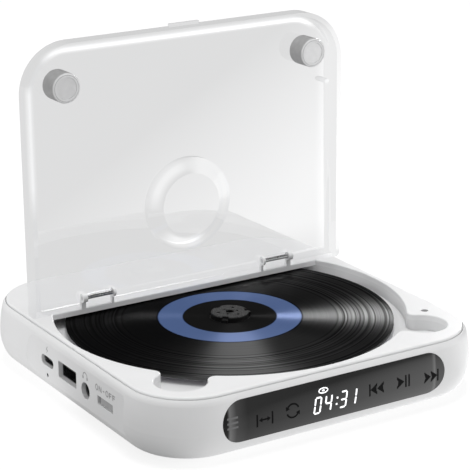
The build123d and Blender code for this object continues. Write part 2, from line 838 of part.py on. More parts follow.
# Stator: base, ring of wound poles and the bearing tube round the shaft
with BuildPart() as spindle_stator:
    post(0, 0, motor_base_r, chassis_face, chassis_face + motor_base_t)
    post(0, 0, stator_r, chassis_face + motor_base_t, chassis_face + motor_base_t + stator_h)
    with BuildSketch(Plane.XY.offset(chassis_face + motor_base_t)) as pole_gaps:
        with PolarLocations(stator_r - pole_gap_in, stator_poles):
            Rectangle(pole_gap_length, pole_gap_w)
    extrude(pole_gaps.sketch, amount=stator_h, mode=Mode.SUBTRACT)
    post(0, 0, shaft_r + shaft_gap, chassis_face, chassis_face + motor_base_t + stator_h, Mode.SUBTRACT)
finish(spindle_stator, "spindle_stator")

# Drive chassis, hung from the well by rubber grommets
rod_line_z = top_z - rod_z
rod_end = chassis_high[0] - rod_end_in
gear_pitch_y = -(sled_half_y + arm_w) - gear_module
small_r = gear_module * small_teeth / 2
large_r = gear_module * large_teeth / 2
pinion_r = gear_module * pinion_teeth / 2
gear_y = gear_pitch_y - small_r
pinion_y = gear_y - large_r - pinion_r
rod_ends = [(rod_start, rod_start + rod_block), (rod_end - rod_block, rod_end)]
with BuildPart() as drive_chassis:
    block((*chassis_low, chassis_bottom), (*chassis_high, chassis_face))
    for x, y in mech_posts:
        post(x, y, grommet_neck_r, chassis_bottom, chassis_face, Mode.SUBTRACT)
    for side in (-1, 1):
        for low_x, high_x in rod_ends:
            block((low_x, side * rod_y - rod_block_half, chassis_face),
                  (high_x, side * rod_y + rod_block_half, rod_line_z + rod_r + rod_block_cap))
            rod_along_x(side * rod_y, rod_line_z, rod_r, low_x, high_x, Mode.SUBTRACT)
    post(0, 0, shaft_r + shaft_gap, chassis_bottom, chassis_face, Mode.SUBTRACT)
    post(gear_x, pinion_y, pinion_hole_r, chassis_bottom, chassis_face, Mode.SUBTRACT)
    post(gear_x, gear_y, gear_axle_r, chassis_bottom, chassis_face, Mode.SUBTRACT)
finish(drive_chassis, "drive_chassis")

# Rubber grommets in the chassis holes, and their screws
grommet_low = top_z - grommet_end
grommet_high = top_z - mech_boss_end
with BuildPart() as grommets:
    for x, y in mech_posts:
        post(x, y, grommet_r, grommet_low, chassis_bottom)
        post(x, y, grommet_neck_r, chassis_bottom, chassis_face)
        post(x, y, grommet_r, chassis_face, grommet_high)
        post(x, y, mech_screw_bore_r, grommet_low, grommet_high, Mode.SUBTRACT)
finish(grommets, "drive_grommets")

with BuildPart() as drive_screws:
    for x, y in mech_posts:
        screw(x, y, mech_screw_r, mech_head_r, grommet_low - mech_head_t, grommet_low,
              floor_bottom - mech_screw_stop)
finish(drive_screws, "drive_screws")

# Guide rods
for side, name in ((-1, "front"), (1, "rear")):
    with BuildPart() as rod:
        rod_along_x(side * rod_y, rod_line_z, rod_r, rod_start, rod_end)
    finish(rod, f"guide_rod_{name}")

# Pickup sled with its rack arm
sled_low, sled_high = top_z - sled_bottom, top_z - sled_top
sled_x = (lens_x - sled_back, lens_x + sled_front)
rack_step = pi * gear_module
rack_high_x = gear_x + rack_lead * rack_step
rack_x = (rack_high_x - rack_teeth * rack_step, rack_high_x)
gear_high = rod_line_z + gear_face / 2
gear_low = gear_high - gear_face


def rack_tooth(middle_x):
    """One straight-sided tooth of the rack, pointing to -Y from its root line"""
    slope = tan(radians(pressure_angle))
    tip, root = tooth_tip * gear_module, tooth_root * gear_module
    half = rack_step / 4 - gear_backlash / 2
    tip_y, root_y = gear_pitch_y - tip, gear_pitch_y + root
    Polyline((middle_x - half - root * slope, root_y), (middle_x - half + tip * slope, tip_y),
             (middle_x + half - tip * slope, tip_y), (middle_x + half + root * slope, root_y),
             (middle_x - half - root * slope, root_y))


arm_y = gear_pitch_y + tooth_root * gear_module
sled_pocket_z = sled_low + sled_pocket_floor
with BuildPart() as pickup_sled:
    block((sled_x[0], -sled_half_y, sled_low), (sled_x[1], sled_half_y, sled_high))
    block((rack_x[0], arm_y, gear_low), (sled_x[1], -sled_half_y, gear_high))
    for tooth in range(rack_teeth):
        with BuildSketch(Plane.XY.offset(gear_low)) as tooth_face:
            with BuildLine():
                rack_tooth(rack_x[0] + (tooth + 0.5) * rack_step)
            make_face()
        extrude(tooth_face.sketch, amount=gear_face)
    for side in (-1, 1):
        rod_along_x(side * rod_y, rod_line_z, rod_r + rod_gap, *sled_x, Mode.SUBTRACT)
    block((lens_x - lens_holder_w / 2 - holder_room / 2, -lens_holder_d / 2 - holder_room, sled_pocket_z),
          (lens_x + lens_holder_w / 2 + holder_room / 2, lens_holder_d / 2 + holder_room, sled_high),
          Mode.SUBTRACT)
finish(pickup_sled, "pickup_sled")

# Lens holder, carried on the sled, and the lens in it
holder_high = top_z - lens_holder_top
holder_foot = holder_high - holder_foot_drop
with BuildPart() as lens_holder:
    block((lens_x - lens_holder_w / 2, -lens_holder_d / 2, holder_high - lens_holder_t),
          (lens_x + lens_holder_w / 2, lens_holder_d / 2, holder_high))
    block((lens_x - holder_foot_w / 2, -holder_foot_d / 2, holder_foot),
          (lens_x + holder_foot_w / 2, holder_foot_d / 2, holder_high - lens_holder_t))
    post(lens_x, 0, lens_r, holder_high - lens_seat, holder_high, Mode.SUBTRACT)
    post(lens_x, 0, lens_r - lens_ledge, holder_foot, holder_high - lens_seat, Mode.SUBTRACT)
finish(lens_holder, "lens_holder")

with BuildPart() as objective_lens:
    with BuildSketch(Plane.XZ):
        with BuildLine():
            crown = (lens_x, holder_high + lens_rise)
            seat = holder_high - lens_seat
            TangentArc(crown, (lens_x + lens_r, holder_high), tangent=(1, 0))
            Polyline((lens_x + lens_r, holder_high), (lens_x + lens_r, seat), (lens_x, seat), crown)
        make_face()
    revolve(axis=Axis((lens_x, 0, 0), (0, 0, 1)))
finish(objective_lens, "objective_lens")

# Focus magnets either side of the lens holder, seated in the sled
with BuildPart() as focus_magnets:
    for side in (-1, 1):
        near = side * (lens_holder_d / 2 + focus_gap)
        far = side * (lens_holder_d / 2 + holder_room)
        block((lens_x - focus_magnet_w / 2, near, sled_pocket_z),
              (lens_x + focus_magnet_w / 2, far, sled_high - focus_magnet_drop))
finish(focus_magnets, "focus_magnets")


def gear_face_outline(teeth, phase):
    """Involute gear outline as straight runs, with one tooth pointing along the phase angle"""
    pitch = gear_module * teeth / 2
    base = pitch * cos(radians(pressure_angle))
    tip = pitch + tooth_tip * gear_module
    root = pitch - tooth_root * gear_module
    half_pitch = (pi * gear_module / 2 - gear_backlash) / (2 * pitch)

    def spread(alpha):
        return tan(alpha) - alpha

    flank = []
    for step in range(flank_steps + 1):
        rho = max(base, root) + (tip - max(base, root)) * step / flank_steps
        alpha = acos(min(1, base / rho))
        flank.append((rho, half_pitch + spread(radians(pressure_angle)) - spread(alpha)))
    if root < base:
        flank.insert(0, (root, flank[0][1]))
    points = []
    for tooth in range(teeth):
        middle = radians(phase) + 2 * pi * tooth / teeth
        points += [(rho * cos(middle - half), rho * sin(middle - half)) for rho, half in flank]
        points += [(rho * cos(middle + half), rho * sin(middle + half)) for rho, half in reversed(flank)]
    Polyline(*points, points[0])


def gear_layer(x, y, teeth, phase, low, high):
    """One gear of even thickness"""
    with BuildSketch(Plane.XY.offset(low)) as outline:
        with BuildLine():
            gear_face_outline(teeth, phase)
        make_face()
    extrude(outline.sketch.moved(Location((x, y, 0))), amount=high - low)


# Transfer gear: small gear on the rack, large gear under it on the motor's pinion
small_phase = 90 + 180 / small_teeth
large_high = gear_low - large_drop
large_low = large_high - large_face
with BuildPart() as transfer_gear:
    gear_layer(gear_x, gear_y, small_teeth, small_phase, large_high, gear_high)
    gear_layer(gear_x, gear_y, large_teeth, -90, large_low, large_high)
    post(gear_x, gear_y, gear_bore_r, large_low, gear_high, Mode.SUBTRACT)
finish(transfer_gear, "transfer_gear")

with BuildPart() as gear_axle:
    post(gear_x, gear_y, gear_axle_r, chassis_bottom, gear_high + gear_axle_over)
finish(gear_axle, "gear_axle")

pinion_low, pinion_high = large_low - pinion_below, large_high + pinion_above
with BuildPart() as motor_pinion:
    gear_layer(gear_x, pinion_y, pinion_teeth, 90 + 180 / pinion_teeth, pinion_low, pinion_high)
    post(gear_x, pinion_y, motor_shaft_r, chassis_bottom - motor_shaft_in, pinion_low)
finish(motor_pinion, "motor_pinion")

# Sled motor under the chassis
with BuildPart() as sled_motor:
    post(gear_x, pinion_y, sled_motor_r, cover_top + sled_motor_room, chassis_bottom)
    post(gear_x, pinion_y, motor_boss_r, chassis_bottom, chassis_face - motor_boss_drop)
    post(gear_x, pinion_y, motor_shaft_r + shaft_gap, chassis_bottom - motor_bearing, chassis_face,
         Mode.SUBTRACT)
finish(sled_motor, "sled_motor")

# Front window, its display module, touch springs and board
with BuildPart() as display_window:
    side_ring([(-window_deep, -body_h), (-window_deep, -rim_drop)])
    front_prism(0, window_back_y, window_out_y, Mode.INTERSECT)
finish(display_window, "display_window")

panel_front = -panel_board_y
with BuildPart() as display_board:
    block((-panel_board_w / 2, panel_front, cover_top + cover_lip_t),
          (panel_board_w / 2, panel_front + panel_board_t, top_z - panel_board_top))
finish(display_board, "display_board")

module_z = top_z - window_z - module_drop
with BuildPart() as display_module:
    block((module_x - module_w / 2, -window_back_y + module_gap, module_z - module_h / 2),
          (module_x + module_w / 2, panel_front, module_z + module_h / 2))
finish(display_module, "display_module")

with BuildPart() as touch_springs:
    for x in touch_pads:
        with Locations(Location((x, (panel_front - window_back_y) / 2, module_z), (90, 0, 0))):
            Cylinder(touch_pad_r, window_back_y + panel_front)
            Cylinder(touch_pad_r - touch_pad_wall, window_back_y + panel_front, mode=Mode.SUBTRACT)
finish(touch_springs, "touch_springs")

# Flat cable from the display board to the main board
with BuildPart() as display_ribbon:
    ribbon_left = board_low[0] + ribbon_in
    block((ribbon_left, panel_front + panel_board_t, top_z - board_top),
          (ribbon_left + ribbon_w, board_front + ribbon_lap, top_z - board_top + ribbon_t))
finish(display_ribbon, "display_ribbon")

# Main board with a notch for the headphone jack
board_face = top_z - board_top
usb_c_mouth = recess_x + usb_c_set
usb_a_mouth = recess_x + usb_a_set
usb_a_end = usb_a_mouth + usb_a_depth
jack_mouth_x = recess_x + jack_set
jack_end_x = jack_mouth_x + jack_length
with BuildPart() as main_board:
    block((*board_low, board_bottom), (*board_high, board_face))
    block((board_low[0], jack_y - jack_half - jack_notch_gap, board_bottom),
          (jack_end_x + jack_notch_gap, jack_y + jack_half + jack_notch_gap, board_face), Mode.SUBTRACT)
    for x, y in board_posts:
        post(x, y, screw_bore_r + screw_slip, board_bottom, board_face, Mode.SUBTRACT)
finish(main_board, "main_board")

with BuildPart() as board_screws:
    for x, y in board_posts:
        screw(x, y, screw_r, screw_head_r, board_face + screw_head_t, board_face,
              board_bottom - board_screw_reach)
finish(board_screws, "board_screws")

with BuildPart() as board_chips:
    for chip_x, chip_y, chip_side in chips:
        middle_x = board_low[0] + chip_x
        block((middle_x - chip_side / 2, chip_y - chip_side / 2, board_face),
              (middle_x + chip_side / 2, chip_y + chip_side / 2, board_face + chip_t))
finish(board_chips, "board_chips")

# USB-C and USB-A sockets: folded shells with a tongue inside
with BuildPart() as usb_c_socket:
    usb_c_end = usb_c_mouth + usb_c_depth
    end_round = usb_c_h / 2 - round_end_slack
    port_slot(usb_c_y, usb_c_z, usb_c_w, usb_c_h, end_round, usb_c_mouth, usb_c_end, Mode.ADD)
    port_slot(usb_c_y, usb_c_z, usb_c_w - 2 * sheet_t, usb_c_h - 2 * sheet_t, end_round - sheet_t,
              usb_c_mouth, usb_c_end - usb_c_back)
    port_slot(usb_c_y, usb_c_z, usb_c_tongue_w, usb_c_tongue_t, usb_c_tongue_t / 3,
              usb_c_mouth + usb_c_tongue_in, usb_c_end, Mode.ADD)
    foot_half = usb_c_w / 2 - usb_c_foot_in
    block((board_low[0], usb_c_y - foot_half, board_face),
          (usb_c_end, usb_c_y + foot_half, top_z - usb_c_z - usb_c_h / 2 + usb_c_foot_lap))
finish(usb_c_socket, "usb_c_socket")

with BuildPart() as usb_a_shell:
    port_slot(usb_a_y, usb_a_z, usb_a_w, usb_a_h, usb_a_round, usb_a_mouth, usb_a_end, Mode.ADD)
    port_slot(usb_a_y, usb_a_z, usb_a_w - 2 * sheet_t, usb_a_h - 2 * sheet_t, usb_a_round / 2, usb_a_mouth,
              usb_a_end - sheet_t)
finish(usb_a_shell, "usb_a_shell")

with BuildPart() as usb_a_tongue:
    tongue_top = top_z - usb_a_z + usb_a_h / 2 - sheet_t - tongue_under
    block((usb_a_mouth + tongue_in, usb_a_y - tongue_w / 2, tongue_top - tongue_t),
          (usb_a_end - sheet_t, usb_a_y + tongue_w / 2, tongue_top))
finish(usb_a_tongue, "usb_a_tongue")

# Headphone jack, sunk in the board's notch
jack_line_z = top_z - jack_z
jack_face_x = -inner_wall_x + jack_wall_gap
tab_end_x = jack_end_x - jack_tab_in
with BuildPart() as headphone_jack:
    block((jack_face_x, jack_y - jack_half, jack_line_z - jack_half),
          (jack_end_x, jack_y + jack_half, jack_line_z + jack_half))
    rod_along_x(jack_y, jack_line_z, jack_ring_r, jack_mouth_x, jack_face_x)
    rod_along_x(jack_y, jack_line_z, jack_bore_r, jack_mouth_x, jack_end_x - jack_back, Mode.SUBTRACT)
    for side in (-1, 1):
        block((tab_end_x - jack_tab_w, jack_y + side * jack_half, board_face),
              (tab_end_x, jack_y + side * (jack_half + jack_tab_out), board_face + jack_tab_t))
finish(headphone_jack, "headphone_jack")

# Power slide switch: body on the board, knob in the slot
switch_line_z = top_z - switch_z
switch_face_x = -inner_wall_x + switch_body_in
switch_knob_x = switch_face_x - switch_knob_gap
knob_middle_y = switch_y - switch_slot_w / 2 + switch_end_gap + switch_knob_w / 2
with BuildPart() as power_switch_body:
    guide_half_h = stem_h / 2 + stem_gap
    block((switch_face_x, switch_y - switch_body_w / 2, board_face),
          (switch_face_x + switch_body_deep, switch_y + switch_body_w / 2, switch_line_z + switch_body_over))
    block((switch_face_x, switch_y - switch_guide_w / 2, switch_line_z - guide_half_h),
          (switch_face_x + switch_guide_deep, switch_y + switch_guide_w / 2, switch_line_z + guide_half_h),
          Mode.SUBTRACT)
finish(power_switch_body, "power_switch_body")

with BuildPart() as power_switch_knob:
    block((recess_x + switch_knob_set, knob_middle_y - switch_knob_w / 2, switch_line_z - switch_knob_h / 2),
          (switch_knob_x, knob_middle_y + switch_knob_w / 2, switch_line_z + switch_knob_h / 2))
    block((switch_knob_x, knob_middle_y - stem_w / 2, switch_line_z - stem_h / 2),
          (switch_face_x + stem_in, knob_middle_y + stem_w / 2, switch_line_z + stem_h / 2))
finish(power_switch_knob, "power_switch_knob")

# Light pipe from the recess to the light under the board
led_block_x = board_low[0] + led_reach
with BuildPart() as light_pipe:
    rod_along_x(led_y, top_z - led_z, led_r, recess_x + led_set, led_block_x)
    block((led_block_x, led_y - led_block_w / 2, top_z - led_z - led_block_drop),
          (led_block_x + led_block_length, led_y + led_block_w / 2, board_bottom))
finish(light_pipe, "light_pipe")

# Lid switch under its hole, with a sprung plunger
plunger_top = top_z - nub_reach - plunger_gap
cavity_top = under_plate - cavity_roof
with BuildPart() as lid_switch_body:
    x, y = switch_hole
    block((x - lid_switch_half, y - lid_switch_half, under_plate - lid_switch_h),
          (x + lid_switch_half, y + lid_switch_half, under_plate))
    post(x, y, cavity_r, under_plate - lid_switch_h + cavity_floor, cavity_top, Mode.SUBTRACT)
    post(x, y, plunger_r + plunger_slip, cavity_top, under_plate, Mode.SUBTRACT)
finish(lid_switch_body, "lid_switch_body")

with BuildPart() as lid_switch_plunger:
    post(x, y, plunger_r, under_plate - plunger_foot, plunger_top)
    post(x, y, cavity_r - plunger_slip, under_plate - collar_low, under_plate - collar_high)
finish(lid_switch_plunger, "lid_switch_plunger")

# Battery in its rails on the bottom cover, on a foam pad
with BuildPart() as battery_pad:
    block((*battery_low, cover_top), (*battery_high, cover_top + battery_pad_t))
finish(battery_pad, "battery_pad")

with BuildPart() as battery:
    block((*battery_low, cover_top + battery_pad_t), (*battery_high, cover_top + battery_pad_t + battery_h))
    fillet(battery.edges().filter_by(Axis.Y), battery_round)
finish(battery, "battery")
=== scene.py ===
from math import ceil, cos, hypot, pi, radians, sin, sqrt

import bmesh
import bpy
from mathutils import Matrix, Vector


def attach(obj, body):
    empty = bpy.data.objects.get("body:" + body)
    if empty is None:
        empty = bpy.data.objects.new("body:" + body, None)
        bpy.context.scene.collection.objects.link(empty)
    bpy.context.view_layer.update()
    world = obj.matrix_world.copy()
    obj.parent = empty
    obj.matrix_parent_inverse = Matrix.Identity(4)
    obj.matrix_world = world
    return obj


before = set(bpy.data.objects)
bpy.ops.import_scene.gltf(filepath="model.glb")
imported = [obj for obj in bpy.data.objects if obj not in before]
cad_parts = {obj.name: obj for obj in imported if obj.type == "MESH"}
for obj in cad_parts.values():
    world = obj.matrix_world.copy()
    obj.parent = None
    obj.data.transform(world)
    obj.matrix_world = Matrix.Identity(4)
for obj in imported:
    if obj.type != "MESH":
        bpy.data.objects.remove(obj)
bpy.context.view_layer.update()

# Lengths below are in millimetres unless a name says otherwise
MM = 0.001
TOP = 23.7

# Camera, fitted to the disc, the well and the case's outline
SENSOR_W = 36.0
LENS = 146.5
AZIMUTH, ELEVATION, ROLL = -31.78, 18.08, -0.25
DISTANCE = 782.9
LOOK_AT = (47.38, 72.58, TOP)
CLIP_NEAR_M, CLIP_FAR_M = 0.05, 20

# Case: half depth of the seam, and the bowed wall's two arcs below the top plane
HALF_D = 66.95
BULGE, BULGE_Z = 2.6, 13.2
UPPER_R, LOWER_R = 48.77, 13.31
RECESS_FACE = 68.0

# Heights over which the hub's mottled top and the disc's print begin, and depths behind the knobs' face
HUB_FACE_Z = (TOP - 1.5, TOP - 1.3)
DISC_FACE_Z = (TOP - 4.08, TOP - 4.06)
KNOB_FACE_Y = (0.55, 0.2)

# Lid frame: hinge axis and lean in degrees, and the knobs' place in it
HINGE_Y, HINGE_Z, LEAN = 28.7, 27.8, 0.64
KNOB_U, KNOB_V, KNOB_FACE_W = 51.9, 80.6, 6.33

# Knob face: radii over which its shade runs, with the ring line between them
KNOB_SHADE_R = (4.0, 5.6)
KNOB_SHADES = ((0.0, 1.0), (0.36, 1.0), (0.46, 0.45), (0.56, 1.0), (1.0, 0.8))

# Window: half width, and its colour across, from the left end to the right one: black ends, each with a
# painted reflection beside it, a pale line fading into the dark middle
WINDOW_HALF = 46.0
WINDOW_PAINTED_REFLECTION = ((0.0, 0.002), (0.026, 0.002), (0.034, 0.2), (0.062, 0.06), (0.11, 0.02), (0.5, 0.012),
                 (0.9, 0.02), (0.936, 0.03), (0.95, 0.14), (0.955, 0.002), (1.0, 0.002))

# Stator wire
WIRE_PITCH = 0.22

# Lid outline: half width, top and corner; and the band along the inner round where a highlight is painted:
# middle and half width
LID_HALF, LID_TOP, LID_CORNER = 66.1, 95.9, 18.5
ROUND_AT, ROUND_HALF = 3.6, 1.7

# Where that painted highlight starts and where it is full, from the lid's middle and from the hinge, and its
# strength
TOP_U, TOP_V = (58.0, 53.0), (86.0, 89.0)
LEFT_U, LEFT_UPPER_V, LEFT_LOWER_V = (0.0, -30.0), (82.0, 78.0), (31.0, 44.0)
RIGHT_U = (59.0, 63.0)
PAINTED_HIGHLIGHT_LEVEL, LEFT_SHARE, RIGHT_PAINTED_HIGHLIGHT = 0.19, 0.7, 0.06

# Dish in the lid: its height and its wall's middle, the wall's fade, and two crescents of painted highlight:
# turn, fade, share
DISH_V, DISH_MIDDLE = 28.7, 14.9
DISH_FADE = (2.6, 1.0)
PAINTED_CRESCENTS = ((2.3, (1.1, 0.3), 0.45), (-1.75, (0.8, 0.2), 0.6))

# Clear lid: colour of each face, and of a face that shadows, diffuse and mirrored rays pass
LID_TINT = (0.994, 0.995, 0.997)
LID_PASSED = (0.985, 0.985, 0.987)

# Its mirrored share where it is faced squarely and where it lies flattest, and how late that rises
LID_MIRROR, LID_MIRROR_MOST, LID_MIRROR_POWER = 0.09, 0.35, 5.0

# Disc: radii, colours, gloss of each ring, and how rough and how stretched the grooves' gloss is
DISC_R = 60.0
LABEL_IN, LABEL_OUT = 17.1, 26.6
LABEL_BLACK, LINE_BLACK = (0.008, 0.008, 0.008), (0.001, 0.001, 0.001)
GROOVE_BLACK = (0.0035, 0.0035, 0.0037)
BLUE, BLUE_GLOSS = (0.066, 0.105, 0.225), (0.15, 0.18, 0.28)
LABEL_GLOSS, GROOVE_GLOSS, PLAIN_SHARE = 0.01, 0.16, (0.75, 0.75, 0.75)
GROOVE_ROUGH, GROOVE_STRETCH = 0.38, 0.684

# Disc from its middle outwards, by radius: colour, gloss, and how much of the grooves shows
DISC_COLOURS = ((0, LABEL_BLACK), (LABEL_IN - 0.1, LABEL_BLACK), (LABEL_IN, LINE_BLACK),
                (LABEL_IN + 0.4, BLUE), (LABEL_OUT - 0.5, BLUE), (LABEL_OUT - 0.1, LINE_BLACK),
                (LABEL_OUT + 0.4, GROOVE_BLACK), (DISC_R, GROOVE_BLACK))
DISC_GLOSS = ((0, LABEL_GLOSS), (LABEL_IN, LABEL_GLOSS), (LABEL_IN + 0.4, BLUE_GLOSS),
              (LABEL_OUT - 0.5, BLUE_GLOSS), (LABEL_OUT, LABEL_GLOSS), (LABEL_OUT + 0.5, GROOVE_GLOSS),
              (DISC_R, GROOVE_GLOSS))
GROOVE_SHARES = ((0, 0), (39.3, 0.08), (39.5, 1), (39.8, 0.1), (40.2, 0.5), (42.4, 1), (43.5, 0.8),
                 (58.6, 0.8), (59.2, 0))

# Painted highlight: way across the disc to the sector whose grooves are given the most gloss, where that
# starts and is full, and its levels
PAINTED_HIGHLIGHT_SIDE = (0.574, -0.819, 0)
PAINTED_HIGHLIGHT_SPAN, PAINTED_HIGHLIGHT_LEVELS = (-0.5, 0.35), (0.16, 1.0)

# How the grooves' gloss follows a noise over the radius: the noise's values, and the levels
LIVELY_SPAN, LIVELY_LEVELS = (0.36, 0.64), (0.15, 1.2)

# Disc underside: the colours that repeat outwards, per millimetre of radius
SPECTRUM_REPEAT = 0.05
SPECTRUM = ((0, (0.7, 0.72, 0.78)), (0.3, (0.62, 0.74, 0.72)), (0.6, (0.74, 0.72, 0.62)),
            (0.8, (0.72, 0.62, 0.72)), (1, (0.7, 0.72, 0.78)))

# Light levels, as the brightness that a white sheet facing the light would have
AMBIENT = 0.7
SEEN_THROUGH = 0.785
FLOOR_GLOW = 0.8

# Floor, in metres: its size, its glow in gloss by place, and what it throws up at the case by place
FLOOR_RADIUS, FLOOR_SIDES, FLOOR_DROP = 6.0, 96, 0.0001
GLOW_X, GLOW_Y, GLOW_AT, GLOW_FRONT = 6.13, 6.5, 0.845, (0.0, -0.08)
GLOW_LEAST, GLOW_MOST = 0.35, 3.1
THROWN_X, THROWN_LEFT, THROWN_RIGHT = (-0.12, 0.05), 0.93, 0.78
CORNER_WAY, CORNER_SPAN, THROWN_CORNER = (-0.906, -0.423, 0), (0.85, 0.98), 0.2
FLOOR_SHADED, FLOOR_PLAIN = (0.25, 0.25, 0.25), (0.8, 0.8, 0.8)

# World in gloss, by the parts of the heading: dim overhead, and glowing as the floor does low down in front
OVERHEAD_Z, OVERHEAD_LEVELS = (0.3, 0.9), (0.004, 0.05)
WORLD_RIGHT_X, WORLD_FRONT_Y, WORLD_LOW_Z = (0.44, 0.6), (0.0, -0.4), (0.45, 0.2)

# Most values of a noise lie between these
NOISE_LOW, NOISE_HIGH = 0.3, 0.7

scene = bpy.context.scene
scene.view_settings.view_transform = "Standard"


class Graph:
    """A material's or the world's node tree, with short calls for the nodes used here"""

    def __init__(self, tree):
        self.tree = tree
        tree.nodes.clear()
        self.position = None

    def node(self, kind, **settings):
        made = self.tree.nodes.new("ShaderNode" + kind)
        for key, value in settings.items():
            setattr(made, key, value)
        return made

    def plug(self, socket, value):
        if isinstance(value, bpy.types.NodeSocket):
            self.tree.links.new(value, socket)
        elif value is not None:
            if socket.type == "RGBA" and len(value) == 3:
                value = (*value, 1)
            socket.default_value = value

    def coords(self):
        if self.position is None:
            self.position = self.node("TexCoord").outputs["Object"]
        return self.position

    def vector(self, operation, a, b=None):
        made = self.node("VectorMath", operation=operation)
        self.plug(made.inputs[0], a)
        self.plug(made.inputs[1], b)
        return made.outputs["Value" if operation in ("LENGTH", "DOT_PRODUCT") else "Vector"]

    def math(self, operation, a, b=None, clamp=False):
        made = self.node("Math", operation=operation, use_clamp=clamp)
        self.plug(made.inputs[0], a)
        self.plug(made.inputs[1], b)
        return made.outputs[0]

    def reach(self, a, b):
        """Length of a step with two square parts"""
        return self.math("SQRT", self.math("ADD", self.math("MULTIPLY", a, a), self.math("MULTIPLY", b, b)))

    def away(self, value, middle):
        """How far a value lies from a middle, either way"""
        return self.math("ABSOLUTE", self.math("SUBTRACT", value, middle))

    def choose(self, flag, no, yes):
        """One of two strengths, by a ray flag"""
        off = self.math("MULTIPLY", self.math("SUBTRACT", 1.0, flag), no)
        return self.math("ADD", off, self.math("MULTIPLY", flag, yes))

    def split(self, vector):
        made = self.node("SeparateXYZ")
        self.plug(made.inputs[0], vector)
        return made.outputs

    def noise(self, scale, detail=4.0, vector=None, rough=0.5):
        made = self.node("TexNoise")
        self.plug(made.inputs["Vector"], self.coords() if vector is None else vector)
        made.inputs["Scale"].default_value = scale
        made.inputs["Detail"].default_value = detail
        made.inputs["Roughness"].default_value = rough
        return made.outputs["Fac"]

    def rings(self, radius, scale, detail):
        made = self.node("TexNoise", noise_dimensions="1D")
        self.plug(made.inputs["W"], radius)
        made.inputs["Scale"].default_value = scale
        made.inputs["Detail"].default_value = detail
        return made.outputs["Fac"]

    def span(self, value, low, high, to_low=0.0, to_high=1.0, smooth=False):
        made = self.node("MapRange", interpolation_type="SMOOTHSTEP" if smooth else "LINEAR")
        for socket, number in zip(made.inputs[:5], (value, low, high, to_low, to_high)):
            self.plug(socket, number)
        return made.outputs[0]

    def uneven(self, noise, least, most):
        """A number that follows a noise"""
        return self.span(noise, NOISE_LOW, NOISE_HIGH, least, most)

    def ramp(self, value, stops):
        made = self.node("ValToRGB")
        elements = made.color_ramp.elements
        while len(elements) < len(stops):
            elements.new(0.5)
        for element, (place, colour) in zip(elements, stops):
            element.position = place
            element.color = (*colour, 1) if hasattr(colour, "__len__") else (colour,) * 3 + (1,)
        self.plug(made.inputs[0], value)
        return made.outputs[0]

    def cloudy(self, noise, low, high):
        """A colour that follows a noise"""
        return self.ramp(noise, [(NOISE_LOW, low), (NOISE_HIGH, high)])

    def mix(self, share, a, b, kind="MIX"):
        made = self.node("Mix", data_type="RGBA", blend_type=kind)
        for name, value in (("Factor", share), ("A", a), ("B", b)):
            sockets = [s for s in made.inputs if s.name == name and s.enabled]
            self.plug(sockets[-1], value)
        return [s for s in made.outputs if s.enabled][-1]

    def bump(self, height, strength, depth):
        made = self.node("Bump")
        made.inputs["Strength"].default_value = strength
        made.inputs["Distance"].default_value = depth * MM
        self.plug(made.inputs["Height"], height)
        return made.outputs[0]

    def principled(self, **inputs):
        made = self.node("BsdfPrincipled")
        for name, value in inputs.items():
            self.plug(made.inputs[name.replace("_", " ")], value)
        return made.outputs[0]

    def emission(self, strength):
        made = self.node("Emission")
        self.plug(made.inputs["Strength"], strength)
        return made.outputs[0]

    def diffuse(self, colour):
        made = self.node("BsdfDiffuse")
        self.plug(made.inputs["Color"], colour)
        return made.outputs[0]

    def both(self, a, b):
        made = self.node("AddShader")
        self.plug(made.inputs[0], a)
        self.plug(made.inputs[1], b)
        return made.outputs[0]

    def blend(self, share, a, b):
        made = self.node("MixShader")
        for socket, value in zip(made.inputs, (share, a, b)):
            self.plug(socket, value)
        return made.outputs[0]

    def finish(self, shader, kind="OutputMaterial"):
        self.plug(self.node(kind).inputs["Surface"], shader)


def material(name):
    made = bpy.data.materials.new(name + "_finish")
    made.use_nodes = True
    return made, Graph(made.node_tree)


def shade(colour, factor):
    return tuple(min(1.0, c * factor) for c in colour)


def moulded(name, colour, rough, spread, mottle, grain, depth, strength, stretch=None, rough_spread=0.06,
            **inputs):
    """Surface with cloudy colour, uneven gloss and fine relief; scales are per metre"""
    made, g = material(name)
    place = g.coords() if stretch is None else g.vector("MULTIPLY", g.coords(), stretch)
    cloud = g.noise(mottle, 3.0, place)
    fine = g.noise(grain, 5.0, place)
    base = g.cloudy(cloud, shade(colour, 1 - spread), shade(colour, 1 + spread))
    gloss = g.uneven(g.noise(mottle * 2.3, 4.0, place), rough - rough_spread, rough + rough_spread)
    g.finish(g.principled(Base_Color=base, Roughness=gloss, Normal=g.bump(fine, strength, depth), **inputs))
    return made


def board_finish():
    """Solder mask over traces that run square to the board, with tinned spots"""
    made, g = material("board_green")
    lines = g.node("TexBrick")
    g.plug(lines.inputs["Vector"], g.coords())
    for name, value in (("Scale", 260.0), ("Mortar Size", 0.06), ("Brick Width", 1.7), ("Row Height", 0.5)):
        lines.inputs[name].default_value = value
    traces = lines.outputs["Fac"]
    mask = g.cloudy(g.noise(900, 3.0), (0.004, 0.06, 0.025), (0.006, 0.085, 0.035))
    base = g.mix(traces, mask, (0.02, 0.15, 0.07))
    spots = g.node("TexVoronoi")
    g.plug(spots.inputs["Vector"], g.coords())
    spots.inputs["Scale"].default_value = 330.0
    tin = g.span(spots.outputs["Distance"], 0.12, 0.16, 1.0, 0.0)
    base = g.mix(tin, base, (0.6, 0.6, 0.58))
    g.finish(g.principled(Base_Color=base, Roughness=0.32, Normal=g.bump(traces, 0.4, 0.03)))
    return made


